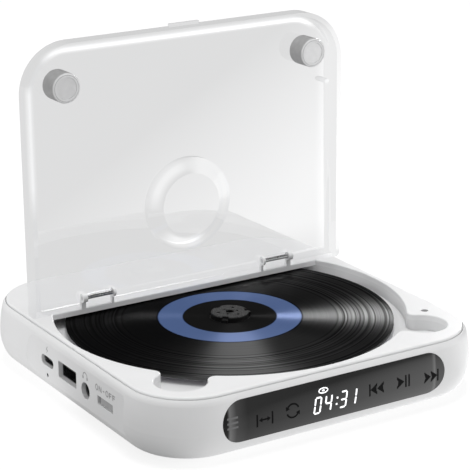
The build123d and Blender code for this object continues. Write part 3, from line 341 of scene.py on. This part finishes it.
def wrap_finish():
    """Battery wrap: blue-grey film with soft wrinkles"""
    made, g = material("cell_wrap")
    wrinkle = g.noise(120, 6.0, g.vector("MULTIPLY", g.coords(), (1, 2.4, 1)), 0.65)
    base = g.cloudy(wrinkle, (0.16, 0.2, 0.27), (0.24, 0.29, 0.37))
    gloss = g.uneven(g.noise(500, 3.0), 0.2, 0.34)
    g.finish(g.principled(Base_Color=base, Roughness=gloss, Metallic=0.4, Normal=g.bump(wrinkle, 0.5, 0.3)))
    return made


def copper_finish():
    """Wound poles: fine wire lines across the ring"""
    made, g = material("stator_copper")
    axes = g.split(g.coords())
    wire = g.math("SINE", g.math("MULTIPLY", axes["Z"], 2 * pi / (WIRE_PITCH * MM)))
    base = g.cloudy(g.noise(700, 3.0), (0.5, 0.2, 0.09), (0.72, 0.33, 0.16))
    g.finish(g.principled(Base_Color=base, Roughness=0.33, Metallic=1.0, Normal=g.bump(wire, 0.5, 0.05)))
    return made


def hub_finish():
    """Hub: black sides, and a top of mottled grey grain"""
    made, g = material("hub_black")
    height = g.split(g.coords())["Z"]
    on_top = g.span(height, *(z * MM for z in HUB_FACE_Z))
    speckle = g.noise(2300, 5.0, rough=0.75)
    grain = g.ramp(speckle, [(0.34, 0.008), (0.52, 0.035), (0.7, 0.16)])
    base = g.mix(on_top, g.cloudy(g.noise(800), 0.004, 0.009), grain)
    rough = g.span(on_top, 0, 1, 0.5, 0.75)
    g.finish(g.principled(Base_Color=base, Roughness=rough, Specular_IOR_Level=0.25,
                          Normal=g.bump(speckle, 0.5, 0.12)))
    return made


def knob_finish():
    """Lid knob: light face with a fine ring line near its edge, and a satin side in painted shade, darker
    than the face
    """
    made, g = material("knob_grey")
    axes = g.split(g.coords())
    across = g.math("SUBTRACT", g.math("ABSOLUTE", axes["X"]), KNOB_U * MM)
    up = g.math("SUBTRACT", axes["Z"], (HINGE_Z + KNOB_V) * MM)
    face_y = HINGE_Y + KNOB_V * sin(radians(LEAN)) - KNOB_FACE_W
    on_face = g.span(axes["Y"], *((face_y + y) * MM for y in KNOB_FACE_Y))
    ring_line = g.ramp(g.span(g.reach(across, up), *(r * MM for r in KNOB_SHADE_R)), KNOB_SHADES)
    cloud = g.cloudy(g.noise(700, 3.0), (0.9, 0.902, 0.906), (0.95, 0.952, 0.956))
    face = g.mix(1.0, cloud, ring_line, "MULTIPLY")
    # Painted shade: the side gets a darker grey than the face
    side = g.cloudy(g.noise(500, 3.0), 0.34, 0.4)
    base = g.mix(on_face, side, face)
    g.finish(g.principled(Base_Color=base, Roughness=g.uneven(g.noise(900), 0.28, 0.4),
                          Normal=g.bump(g.noise(3000, 4.0), 0.25, 0.008)))
    return made


def window_finish():
    """Smoked glossy window: black ends, with a painted reflection, a paler line, beside each"""
    made, g = material("window_black")
    across = g.split(g.coords())["X"]
    # The colour across the window holds a painted reflection beside each black end
    painted_light_band = g.ramp(g.span(across, -WINDOW_HALF * MM, WINDOW_HALF * MM), WINDOW_PAINTED_REFLECTION)
    gloss = g.uneven(g.noise(260, 3.0), 0.05, 0.1)
    g.finish(g.principled(Base_Color=painted_light_band, Roughness=gloss, Normal=g.bump(g.noise(160, 2.0), 0.04, 0.02)))
    return made


def pipe_finish(name, tint, rough):
    """Small clear part, slightly hazy"""
    made, g = material(name)
    haze = g.uneven(g.noise(1500, 3.0), rough, rough + 0.08)
    colour = g.cloudy(g.noise(400, 2.0), shade(tint, 0.95), tint)
    g.finish(g.principled(Base_Color=colour, Roughness=haze, Transmission_Weight=0.85, IOR=1.49))
    return made


def painted_highlights(g):
    """Painted highlights on the lid, glowing as emission: along the top, down the left side, in the dish and
    at the right side
    """
    axes = g.split(g.coords())
    u = g.math("MULTIPLY", axes["X"], 1 / MM)
    v = g.math("SUBTRACT", g.math("MULTIPLY", axes["Z"], 1 / MM), HINGE_Z)
    beyond_u = g.math("SUBTRACT", g.math("ABSOLUTE", u), LID_HALF - LID_CORNER)
    beyond_v = g.math("SUBTRACT", v, LID_TOP - LID_CORNER)
    reach = g.reach(*(g.math("MAXIMUM", way, 0.0) for way in (beyond_u, beyond_v)))
    reach = g.math("ADD", reach, g.math("MINIMUM", g.math("MAXIMUM", beyond_u, beyond_v), 0.0))
    inset = g.math("SUBTRACT", LID_CORNER, reach)
    painted_light_band = g.span(g.away(inset, ROUND_AT), ROUND_HALF, 0.0, smooth=True)
    top = g.math("MULTIPLY", g.span(g.math("ABSOLUTE", u), *TOP_U), g.span(v, *TOP_V))
    left = g.math("MULTIPLY", g.span(v, *LEFT_UPPER_V), g.span(v, *LEFT_LOWER_V))
    left = g.math("MULTIPLY", left, g.span(u, *LEFT_U))
    painted_frame_highlight = g.math("MULTIPLY", painted_light_band, g.math("ADD", top, g.math("MULTIPLY", left, LEFT_SHARE)))
    from_dish = g.math("SUBTRACT", v, DISH_V)
    wall = g.span(g.away(g.reach(u, from_dish), DISH_MIDDLE), *DISH_FADE, smooth=True)
    turn = g.math("ARCTAN2", from_dish, u)
    crescents = [g.span(g.away(turn, middle), *fade, 0.0, share, smooth=True)
                 for middle, fade, share in PAINTED_CRESCENTS]
    painted_dish_highlight = g.math("MULTIPLY", wall, g.math("ADD", *crescents))
    # Painted highlight strength, given out as emission
    caught = g.math("MULTIPLY", g.math("ADD", painted_frame_highlight, painted_dish_highlight), PAINTED_HIGHLIGHT_LEVEL)
    return g.math("ADD", caught, g.span(u, *RIGHT_U, 0.0, RIGHT_PAINTED_HIGHLIGHT))


def lid_finish():
    """Clear moulded plastic: straight through, with outer faces that mirror more the flatter they are seen"""
    made, g = material("clear_lid")
    haze = g.uneven(g.noise(60, 3.0), 0.01, 0.03)
    tint = g.cloudy(g.noise(40, 2.0), shade(LID_TINT, 0.997), LID_TINT)
    flat = g.math("POWER", g.node("LayerWeight").outputs["Facing"], LID_MIRROR_POWER)
    share = g.span(flat, 0.0, 1.0, LID_MIRROR, LID_MIRROR_MOST)
    path = g.node("LightPath").outputs
    been_through = path["Is Transmission Ray"]
    back_face = g.math("MAXIMUM", g.node("NewGeometry").outputs["Backfacing"], been_through)
    share = g.math("MULTIPLY", share, g.math("SUBTRACT", 1.0, back_face))
    straight = g.node("BsdfRefraction")
    for name, value in (("Color", tint), ("IOR", 1.0), ("Roughness", 0.0)):
        g.plug(straight.inputs[name], value)
    mirror = g.node("BsdfAnisotropic")
    for name, value in (("Roughness", haze), ("Normal", g.bump(g.noise(30, 2.0), 0.02, 0.05))):
        g.plug(mirror.inputs[name], value)
    clear = g.node("BsdfTransparent")
    g.plug(clear.inputs["Color"], LID_PASSED)
    through = g.math("MAXIMUM", path["Is Shadow Ray"], path["Is Diffuse Ray"])
    through = g.math("MAXIMUM", through, g.math("SUBTRACT", path["Is Glossy Ray"], been_through))
    # The painted highlights glow as emission over the clear plastic
    caught = g.both(g.blend(share, straight.outputs[0], mirror.outputs[0]), g.emission(painted_highlights(g)))
    g.finish(g.blend(through, caught, clear.outputs[0]))
    return made


def disc_finish():
    """Printed like a record: blue metal ring, grooves whose gloss fans out across them and is painted
    stronger on one side, mirror below
    """
    made, g = material("disc")
    radius = g.vector("LENGTH", g.vector("MULTIPLY", g.coords(), (1 / MM, 1 / MM, 0)))
    out = g.span(radius, 0, DISC_R)
    base, gloss, grooved = [g.ramp(out, [(mm / DISC_R, level) for mm, level in stops])
                            for stops in (DISC_COLOURS, DISC_GLOSS, GROOVE_SHARES)]
    ring_noise = g.rings(radius, 0.85, 5.0)
    fine_rings = g.rings(radius, 7.0, 2.0)
    outwards = g.vector("NORMALIZE", g.vector("MULTIPLY", g.coords(), (1, 1, 0)))
    # Painted highlight: the grooves' gloss is strongest towards one side of the disc
    sector = g.vector("DOT_PRODUCT", outwards, PAINTED_HIGHLIGHT_SIDE)
    painted_highlight_sector = g.span(sector, *PAINTED_HIGHLIGHT_SPAN, *PAINTED_HIGHLIGHT_LEVELS, smooth=True)
    lively = g.span(ring_noise, *LIVELY_SPAN, *LIVELY_LEVELS)
    gloss = g.vector("MULTIPLY", gloss, g.mix(grooved, PLAIN_SHARE, lively))
    gloss = g.vector("MULTIPLY", gloss, painted_highlight_sector)
    relief = g.math("MULTIPLY", g.math("ADD", ring_noise, g.math("MULTIPLY", fine_rings, 0.5)), grooved)
    round_axis = g.node("Tangent", direction_type="RADIAL", axis="Z")
    grooves = g.node("BsdfAnisotropic")
    for name, value in (("Color", gloss), ("Roughness", GROOVE_ROUGH), ("Anisotropy", GROOVE_STRETCH),
                        ("Normal", g.bump(relief, 0.3, 0.02)), ("Tangent", round_axis.outputs[0])):
        g.plug(grooves.inputs[name], value)
    top = g.both(g.diffuse(base), grooves.outputs[0])
    spectrum = g.ramp(g.math("FRACT", g.math("MULTIPLY", radius, SPECTRUM_REPEAT)), SPECTRUM)
    under = g.principled(Base_Color=spectrum, Metallic=0.95, Roughness=g.uneven(ring_noise, 0.08, 0.14))
    height = g.split(g.coords())["Z"]
    is_top = g.span(height, *(z * MM for z in DISC_FACE_Z))
    g.finish(g.blend(is_top, under, top))
    return made


def lit_finish():
    """Lit display figures, a little uneven as behind a diffuser"""
    made, g = material("display_light")
    glow = g.cloudy(g.noise(900, 2.0), (0.93, 0.96, 1.0), (1.0, 1.0, 1.0))
    g.finish(g.principled(Base_Color=(0.8, 0.8, 0.8), Roughness=0.4, Emission_Color=glow,
                          Emission_Strength=1.0))
    return made


def floor_finish():
    """White to the camera, with the object's shadow kept; gloss sees it brighter to the object's right"""
    made, g = material("floor")
    place = g.split(g.coords())
    slope = g.math("ADD", g.math("MULTIPLY", place["X"], GLOW_X), g.math("MULTIPLY", place["Y"], GLOW_Y))
    slope = g.math("MULTIPLY", g.math("ADD", slope, GLOW_AT, clamp=True), g.span(place["Y"], *GLOW_FRONT))
    mirror_level = g.span(slope, 0.0, 1.0, GLOW_LEAST, GLOW_MOST)
    thrown_up = g.span(place["X"], *THROWN_X, THROWN_LEFT, THROWN_RIGHT)
    to_corner = g.vector("DOT_PRODUCT", g.vector("NORMALIZE", g.coords()), CORNER_WAY)
    at_corner = g.span(to_corner, *CORNER_SPAN, 1.0, THROWN_CORNER, smooth=True)
    thrown_up = g.math("MULTIPLY", thrown_up, at_corner)
    path = g.node("LightPath").outputs
    look = g.diffuse(FLOOR_PLAIN)
    for flag, seen in (("Is Diffuse Ray", g.emission(thrown_up)), ("Is Glossy Ray", g.emission(mirror_level)),
                       ("Is Transmission Ray", g.emission(SEEN_THROUGH)),
                       ("Is Camera Ray", g.both(g.emission(FLOOR_GLOW), g.diffuse(FLOOR_SHADED)))):
        look = g.blend(path[flag], look, seen)
    g.finish(look)
    return made


def surroundings():
    """Soft white world, dim behind the object where its black parts are reflected"""
    made = bpy.data.worlds.new("surroundings")
    made.use_nodes = True
    g = Graph(made.node_tree)
    heading = g.split(g.node("TexCoord").outputs["Generated"])
    upward = g.span(heading["Z"], *OVERHEAD_Z, *OVERHEAD_LEVELS, smooth=True)
    to_right = g.span(heading["X"], *WORLD_RIGHT_X, GLOW_LEAST, GLOW_MOST)
    share = g.math("MULTIPLY", g.span(heading["Y"], *WORLD_FRONT_Y), g.span(heading["Z"], *WORLD_LOW_Z))
    mirror = g.math("ADD", upward, g.math("MULTIPLY", share, to_right))
    path = g.node("LightPath").outputs
    level = AMBIENT
    for flag, seen in (("Is Glossy Ray", mirror), ("Is Transmission Ray", SEEN_THROUGH),
                       ("Is Camera Ray", 1.0)):
        level = g.choose(path[flag], level, seen)
    background = g.node("Background")
    g.plug(background.inputs["Strength"], level)
    g.finish(background.outputs[0], "OutputWorld")
    return made


# Plain finishes: slot, colour, roughness, spread, mottle, grain, relief's depth and strength, and the rest
PLAIN = (
    ("white_case", (0.86, 0.862, 0.866), 0.34, 0.008, 120, 900, 0.004, 0.1,
     dict(rough_spread=0.04, Specular_IOR_Level=0.32)),
    ("white_well", (0.8, 0.802, 0.806), 0.35, 0.012, 150, 1400, 0.006, 0.2, {}),
    ("white_cover", (0.82, 0.822, 0.826), 0.42, 0.02, 160, 2600, 0.015, 0.35, {}),
    ("soft_rubber", (0.42, 0.42, 0.43), 0.72, 0.08, 500, 3000, 0.03, 0.5, {}),
    ("black_rubber", (0.02, 0.02, 0.021), 0.6, 0.2, 500, 3000, 0.03, 0.5, {}),
    ("steel", (0.62, 0.62, 0.63), 0.28, 0.06, 600, 1200, 0.004, 0.3, dict(stretch=(1, 14, 14), Metallic=1.0)),
    ("magnet", (0.88, 0.882, 0.886), 0.34, 0.03, 500, 2400, 0.006, 0.3, dict(Metallic=0.1)),
    ("chip_black", (0.018, 0.018, 0.02), 0.5, 0.25, 900, 6000, 0.02, 0.4, {}),
    ("display_face", (0.03, 0.032, 0.034), 0.3, 0.15, 700, 3000, 0.006, 0.2, {}),
    ("spring_bronze", (0.62, 0.42, 0.2), 0.3, 0.08, 900, 2200, 0.006, 0.3, dict(Metallic=1.0)),
    ("ribbon", (0.55, 0.36, 0.12), 0.38, 0.08, 700, 1800, 0.006, 0.25, dict(stretch=(9, 1, 1))),
    ("foam", (0.05, 0.05, 0.052), 0.95, 0.35, 1500, 3500, 0.25, 0.9, {}),
    ("port_steel", (0.72, 0.72, 0.73), 0.22, 0.05, 500, 1500, 0.003, 0.25,
     dict(stretch=(12, 1, 1), Metallic=1.0)),
    ("port_tongue", (0.015, 0.015, 0.017), 0.42, 0.2, 700, 3500, 0.006, 0.3, {}),
    ("jack_black", (0.014, 0.014, 0.015), 0.4, 0.2, 700, 3000, 0.006, 0.3, {}),
    ("switch_black", (0.02, 0.02, 0.021), 0.45, 0.2, 700, 3000, 0.01, 0.3, {}),
    ("switch_grey", (0.45, 0.45, 0.455), 0.45, 0.05, 600, 3000, 0.01, 0.35, {}),
    ("drive_plate", (0.56, 0.57, 0.58), 0.4, 0.06, 350, 1300, 0.006, 0.35,
     dict(stretch=(1, 9, 9), Metallic=1.0)),
    ("motor_steel", (0.6, 0.6, 0.61), 0.3, 0.05, 400, 1500, 0.004, 0.3,
     dict(stretch=(1, 1, 10), Metallic=1.0)),
    ("gear_white", (0.78, 0.77, 0.73), 0.45, 0.03, 500, 2500, 0.008, 0.3, {}),
    ("sled_black", (0.022, 0.022, 0.024), 0.5, 0.25, 500, 2600, 0.02, 0.4, {}),
    ("lens_holder", (0.035, 0.035, 0.037), 0.45, 0.2, 800, 3500, 0.01, 0.3, {}),
)
finishes = {slot: moulded(slot, *values, **more) for slot, *values, more in PLAIN}
finishes.update(board_green=board_finish(), cell_wrap=wrap_finish(), stator_copper=copper_finish(),
                hub_black=hub_finish(), knob_grey=knob_finish(), window_black=window_finish(),
                pipe_clear=pipe_finish("pipe_clear", (0.5, 0.52, 0.55), 0.2),
                lens_glass=pipe_finish("lens_glass", (0.75, 0.8, 0.95), 0.0),
                clear_lid=lid_finish(), disc=disc_finish())

# Give each CAD node its finish
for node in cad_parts.values():
    for holder in node.material_slots:
        holder.material = finishes[holder.material.name.split(".")[0]]


# Printed signs: thin closed strips that follow the surface they lie on; a triangle ends in a point this wide
PRINT_LIFT, PRINT_SINK = 0.03, 0.08
PRINT_STEP = 0.45
POINT_W = 0.04


def wall_offset(depth):
    """How far the bowed wall stands out from the seam at a depth below the top plane"""
    radius = UPPER_R if depth <= BULGE_Z else LOWER_R
    return BULGE - (radius - sqrt(radius**2 - (depth - BULGE_Z) ** 2))


def on_front(x, z, lift):
    """Point over the window, from x and the height above the top plane"""
    return Vector((x, -(HALF_D + wall_offset(-z) + lift), TOP + z)) * MM


def on_recess(y, z, lift):
    """Point over the port recess floor, from y and the height above the top plane"""
    return Vector((-(RECESS_FACE + lift), y, TOP + z)) * MM


def strip(mesh, points, widths, place, closed=False):
    """One closed strip along a line of points in the print's plane, with a width at each"""
    line, wide = [], []
    count = len(points)
    for i in range(count if closed else count - 1):
        (ax, az), (bx, bz) = points[i], points[(i + 1) % count]
        wa, wb = widths[i], widths[(i + 1) % count]
        parts = max(1, ceil(hypot(bx - ax, bz - az) / PRINT_STEP))
        for k in range(parts):
            t = k / parts
            line.append((ax + (bx - ax) * t, az + (bz - az) * t))
            wide.append(wa + (wb - wa) * t)
    if not closed:
        line.append(points[-1])
        wide.append(widths[-1])
    total = len(line)
    rows = []
    for i, (x, z) in enumerate(line):
        before = line[(i - 1) % total] if closed or i else line[0]
        after = line[(i + 1) % total] if closed or i < total - 1 else line[-1]
        dx, dz = after[0] - before[0], after[1] - before[1]
        length = hypot(dx, dz)
        nx, nz = -dz / length * wide[i] / 2, dx / length * wide[i] / 2
        rows.append([mesh.verts.new(place(x + s * nx, z + s * nz, lift))
                     for s, lift in ((-1, PRINT_LIFT), (1, PRINT_LIFT), (1, -PRINT_SINK), (-1, -PRINT_SINK))])
    for i in range(total if closed else total - 1):
        a, b = rows[i], rows[(i + 1) % total]
        for k in range(4):
            mesh.faces.new((a[k], a[(k + 1) % 4], b[(k + 1) % 4], b[k]))
    if not closed:
        mesh.faces.new(rows[0])
        mesh.faces.new(rows[-1])


def print_piece(name, body, finish, place, strokes):
    """Make one piece from strokes: (points, width or widths, closed)"""
    mesh = bmesh.new()
    for points, widths, closed in strokes:
        widths = widths if hasattr(widths, "__len__") else [widths] * len(points)
        strip(mesh, points, widths, place, closed)
    bmesh.ops.recalc_face_normals(mesh, faces=mesh.faces)
    data = bpy.data.meshes.new(name)
    mesh.to_mesh(data)
    mesh.free()
    data.materials.append(finish)
    made = bpy.data.objects.new(name, data)
    scene.collection.objects.link(made)
    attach(made, body)


def arc(cx, cz, rx, rz, start, end, steps=20):
    """Points along an arc, in degrees"""
    return [(cx + rx * cos(radians(start + (end - start) * i / steps)),
             cz + rz * sin(radians(start + (end - start) * i / steps))) for i in range(steps + 1)]


def ring(cx, cz, rx, rz, width, steps=28):
    return (arc(cx, cz, rx, rz, 0, 360, steps)[:-1], width, True)


def bar(x0, z0, x1, z1, width):
    return ([(x0, z0), (x1, z1)], width, False)


def triangle(base_x, tip_x, z, height):
    """Filled triangle with an upright base"""
    return ([(base_x, z), (tip_x, z)], [height, POINT_W], False)


def shifted(strokes, dx, dz):
    return [([(x + dx, z + dz) for x, z in points], widths, closed) for points, widths, closed in strokes]


# Display figures, slanted and in seven segments: sizes, the height of their middle, and the x of each
DIGIT_HALF_W, DIGIT_HALF_H = 1.15, 2.75
DIGIT_SLANT = 0.16
SEGMENT_W, SEGMENT_END_W, SEGMENT_GAP, SEGMENT_POINT = 0.6, 0.25, 0.14, 0.35
SEGMENTS = {"0": "abcdef", "1": "bc", "3": "abcdg", "4": "bcfg"}
SEGMENT_ENDS = {"a": ((-1, 2), (1, 2)), "b": ((1, 2), (1, 0)), "c": ((1, 0), (1, -2)),
                "d": ((-1, -2), (1, -2)), "e": ((-1, 0), (-1, -2)), "f": ((-1, 2), (-1, 0)),
                "g": ((-1, 0), (1, 0))}
FIGURES_Z = -11.6
FIGURES_X = (("0", -8.1), ("4", -3.8), ("3", 2.4), ("1", 6.4))
COLON_LEFT, COLON_RIGHT, COLON_LEAN, COLON_RISE, COLON_W = -0.6, 0.05, 0.2, 1.1, 0.65
DISC_SIGN_X, DISC_SIGN_Z = -5.7, -6.7


def digit(figure, cx, cz):
    strokes = []
    for name in SEGMENTS[figure]:
        (ax, az), (bx, bz) = [(x * DIGIT_HALF_W, z * DIGIT_HALF_H / 2) for x, z in SEGMENT_ENDS[name]]
        length = hypot(bx - ax, bz - az)
        points = []
        for t in (SEGMENT_GAP, SEGMENT_POINT, length - SEGMENT_POINT, length - SEGMENT_GAP):
            x, z = ax + (bx - ax) * t / length, az + (bz - az) * t / length
            points.append((cx + x + DIGIT_SLANT * z, cz + z))
        strokes.append((points, [SEGMENT_END_W, SEGMENT_W, SEGMENT_W, SEGMENT_END_W], False))
    return strokes


sign_grey = moulded("sign_grey", (0.17, 0.17, 0.172), 0.35, 0.08, 900, 4000, 0.004, 0.2)
sign_black = moulded("sign_black", (0.006, 0.006, 0.0062), 0.8, 0.2, 900, 4000, 0.004, 0.2,
                     Specular_IOR_Level=0.1)
port_grey = moulded("port_grey", (0.4, 0.4, 0.405), 0.5, 0.06, 900, 4000, 0.004, 0.2)
lit = lit_finish()

figures = []
for figure, x in FIGURES_X:
    figures += digit(figure, x, FIGURES_Z)
for s in (-1, 1):
    z = FIGURES_Z + s * COLON_RISE
    figures.append(bar(COLON_LEFT + s * COLON_LEAN, z, COLON_RIGHT + s * COLON_LEAN, z, COLON_W))
print_piece("display_figures", "case", lit, on_front, figures)
print_piece("disc_sign", "case", lit, on_front,
            [ring(DISC_SIGN_X, DISC_SIGN_Z, *shape) for shape in ((1.8, 0.85, 0.38), (0.45, 0.2, 0.26))])

# Touch signs on the window, each drawn around its own middle
REPEAT_R, REPEAT_TURN, REPEAT_TIP = 2.4, 125, 1.3
menu_sign = [bar(-2.1, z, 2.1, z, 0.7) for z in (-1.7, 0, 1.7)]
section_sign = [bar(s * 3.0, -2.2, s * 3.0, 2.2, 0.6) for s in (-1, 1)] + [bar(-1.4, 0, 1.4, 0, 0.55)]
section_sign += [triangle(s * 1.0, s * 2.3, 0, 1.7) for s in (-1, 1)]
repeat_sign = [(arc(0, 0, REPEAT_R, REPEAT_R, start, start + REPEAT_TURN), 0.6, False)
               for start in (20, 200)]
for angle in (145, 325):
    x, z = REPEAT_R * cos(radians(angle)), REPEAT_R * sin(radians(angle))
    ahead = radians(angle + 90)
    tip = (x + REPEAT_TIP * cos(ahead), z + REPEAT_TIP * sin(ahead))
    repeat_sign.append(([(x, z), tip], [1.9, 0.05], False))
skip_sign = [bar(3.0, -2.2, 3.0, 2.2, 0.6), triangle(-2.9, -0.1, 0, 4.2), triangle(-0.1, 2.7, 0, 4.2)]
back_sign = [([(-x, z) for x, z in points], widths, closed) for points, widths, closed in skip_sign]
play_sign = [triangle(-2.8, 0.3, 0, 4.4), bar(1.0, -2.2, 1.0, 2.2, 0.65), bar(2.4, -2.2, 2.4, 2.2, 0.65)]
for name, strokes, x, z in (
    ("menu_sign", menu_sign, -41.8, -10.2),
    ("section_sign", section_sign, -29.3, -11.6),
    ("repeat_sign", repeat_sign, -18.2, -11.1),
    ("back_sign", back_sign, 16.4, -10.9),
    ("play_sign", play_sign, 27.7, -10.8),
    ("skip_sign", skip_sign, 39.6, -11.5),
):
    finish = sign_grey if strokes is menu_sign else sign_black
    print_piece(name, "case", finish, on_front, shifted(strokes, x, z))


def rearward(strokes, y, z):
    """Turn strokes for the left side, where a reader's right is towards the front"""
    return [([(y - a, z + b) for a, b in points], widths, closed) for points, widths, closed in strokes]


# Signs over the USB-C socket and the headphone jack
bolt_sign = [([(0.45, 1.35), (-0.5, 0.05)], 0.32, False), ([(-0.5, 0.05), (0.5, -0.05)], 0.32, False),
             ([(0.5, -0.05), (-0.45, -1.35)], [0.32, 0.1], False)]
phones_sign = [(arc(0, -0.4, 1.5, 1.6, 0, 180), 0.34, False)]
phones_sign += [bar(s * 1.5, -0.3, s * 1.5, -1.3, 0.75) for s in (-1, 1)]
print_piece("power_sign", "case", port_grey, on_recess, rearward(bolt_sign, 13.5, -6.4))
print_piece("phones_sign", "case", port_grey, on_recess, rearward(phones_sign, -15.6, -6.3))

# Switch words, ON and OFF
LETTER_W, LETTER_H, LETTER_STEP, LETTER_LINE = 1.55, 2.0, 2.45, 0.42
F_TOP_DROP, F_BAR_SHARE, HYPHEN_HALF = 0.16, 0.7, 0.55
WORDS = "ON-OFF"
WORDS_Y, WORDS_Z = -30.2, -7.4


def letter(kind):
    w, h = LETTER_W / 2, LETTER_H / 2
    if kind == "O":
        return [ring(0, 0, w, h, LETTER_LINE, 20)]
    if kind == "N":
        return [bar(-w, -h, -w, h, LETTER_LINE), bar(-w, h, w, -h, LETTER_LINE),
                bar(w, -h, w, h, LETTER_LINE)]
    if kind == "F":
        return [bar(-w, -h, -w, h, LETTER_LINE), bar(-w, h - F_TOP_DROP, w, h - F_TOP_DROP, LETTER_LINE),
                bar(-w, 0, w * F_BAR_SHARE, 0, LETTER_LINE)]
    return [bar(-HYPHEN_HALF, 0, HYPHEN_HALF, 0, LETTER_LINE)]


words = []
for i, kind in enumerate(WORDS):
    words += shifted(letter(kind), (i - (len(WORDS) - 1) / 2) * LETTER_STEP, 0)
print_piece("switch_words", "case", port_grey, on_recess, rearward(words, WORDS_Y, WORDS_Z))

# Floor and world
floor_mesh = bmesh.new()
bmesh.ops.create_circle(floor_mesh, cap_ends=True, segments=FLOOR_SIDES, radius=FLOOR_RADIUS)
floor_data = bpy.data.meshes.new("floor")
floor_mesh.to_mesh(floor_data)
floor_mesh.free()
floor = bpy.data.objects.new("floor", floor_data)
floor.location = (0, 0, -FLOOR_DROP)
scene.collection.objects.link(floor)
floor_data.materials.append(floor_finish())

scene.world = surroundings()


def lamp(name, direction, distance, width, height, level, in_gloss):
    """Soft panel in metres, turned to the object; seen by gloss and not by diffuse, or the other way round"""
    data = bpy.data.lights.new(name, "AREA")
    data.shape = "RECTANGLE"
    data.size, data.size_y = width, height
    data.energy = level * pi**2 * distance**2
    made = bpy.data.objects.new(name, data)
    heading = Vector(direction).normalized()
    made.location = heading * distance
    made.rotation_euler = heading.to_track_quat("Z", "Y").to_euler()
    made.visible_glossy = in_gloss
    made.visible_diffuse = not in_gloss
    scene.collection.objects.link(made)


lamp("key_panel", (0.75, -0.5, 0.45), 1.6, 0.9, 0.6, 0.07, in_gloss=False)
lamp("left_panel", (-0.9, 0.35, 0.25), 1.6, 0.5, 0.5, 0.19, in_gloss=False)
lamp("low_back_panel", (0.74, 0.633, 0.225), 1.5, 0.25, 0.2, 0.24, in_gloss=True)
lamp("high_back_panel", (0.376, 0.537, 0.755), 1.5, 0.3, 0.3, 0.13, in_gloss=True)
lamp("upper_panel", (0.05, 0.05, 1.0), 1.4, 0.4, 0.4, 0.43, in_gloss=False)

# Camera
az, el, roll = radians(AZIMUTH), radians(ELEVATION), radians(ROLL)
back = Vector((sin(az) * cos(el), -cos(az) * cos(el), sin(el)))
right = Vector((cos(az), sin(az), 0))
up = back.cross(right)
turned_right = right * cos(roll) + up * sin(roll)
turned_up = up * cos(roll) - right * sin(roll)
camera_data = bpy.data.cameras.new("camera")
camera_data.sensor_width = SENSOR_W
camera_data.lens = LENS
camera_data.clip_start, camera_data.clip_end = CLIP_NEAR_M, CLIP_FAR_M
camera = bpy.data.objects.new("camera", camera_data)
scene.collection.objects.link(camera)
turn = Matrix((turned_right, turned_up, back)).transposed()
camera.matrix_world = Matrix.Translation((Vector(LOOK_AT) + back * DISTANCE) * MM) @ turn.to_4x4()
scene.camera = camera
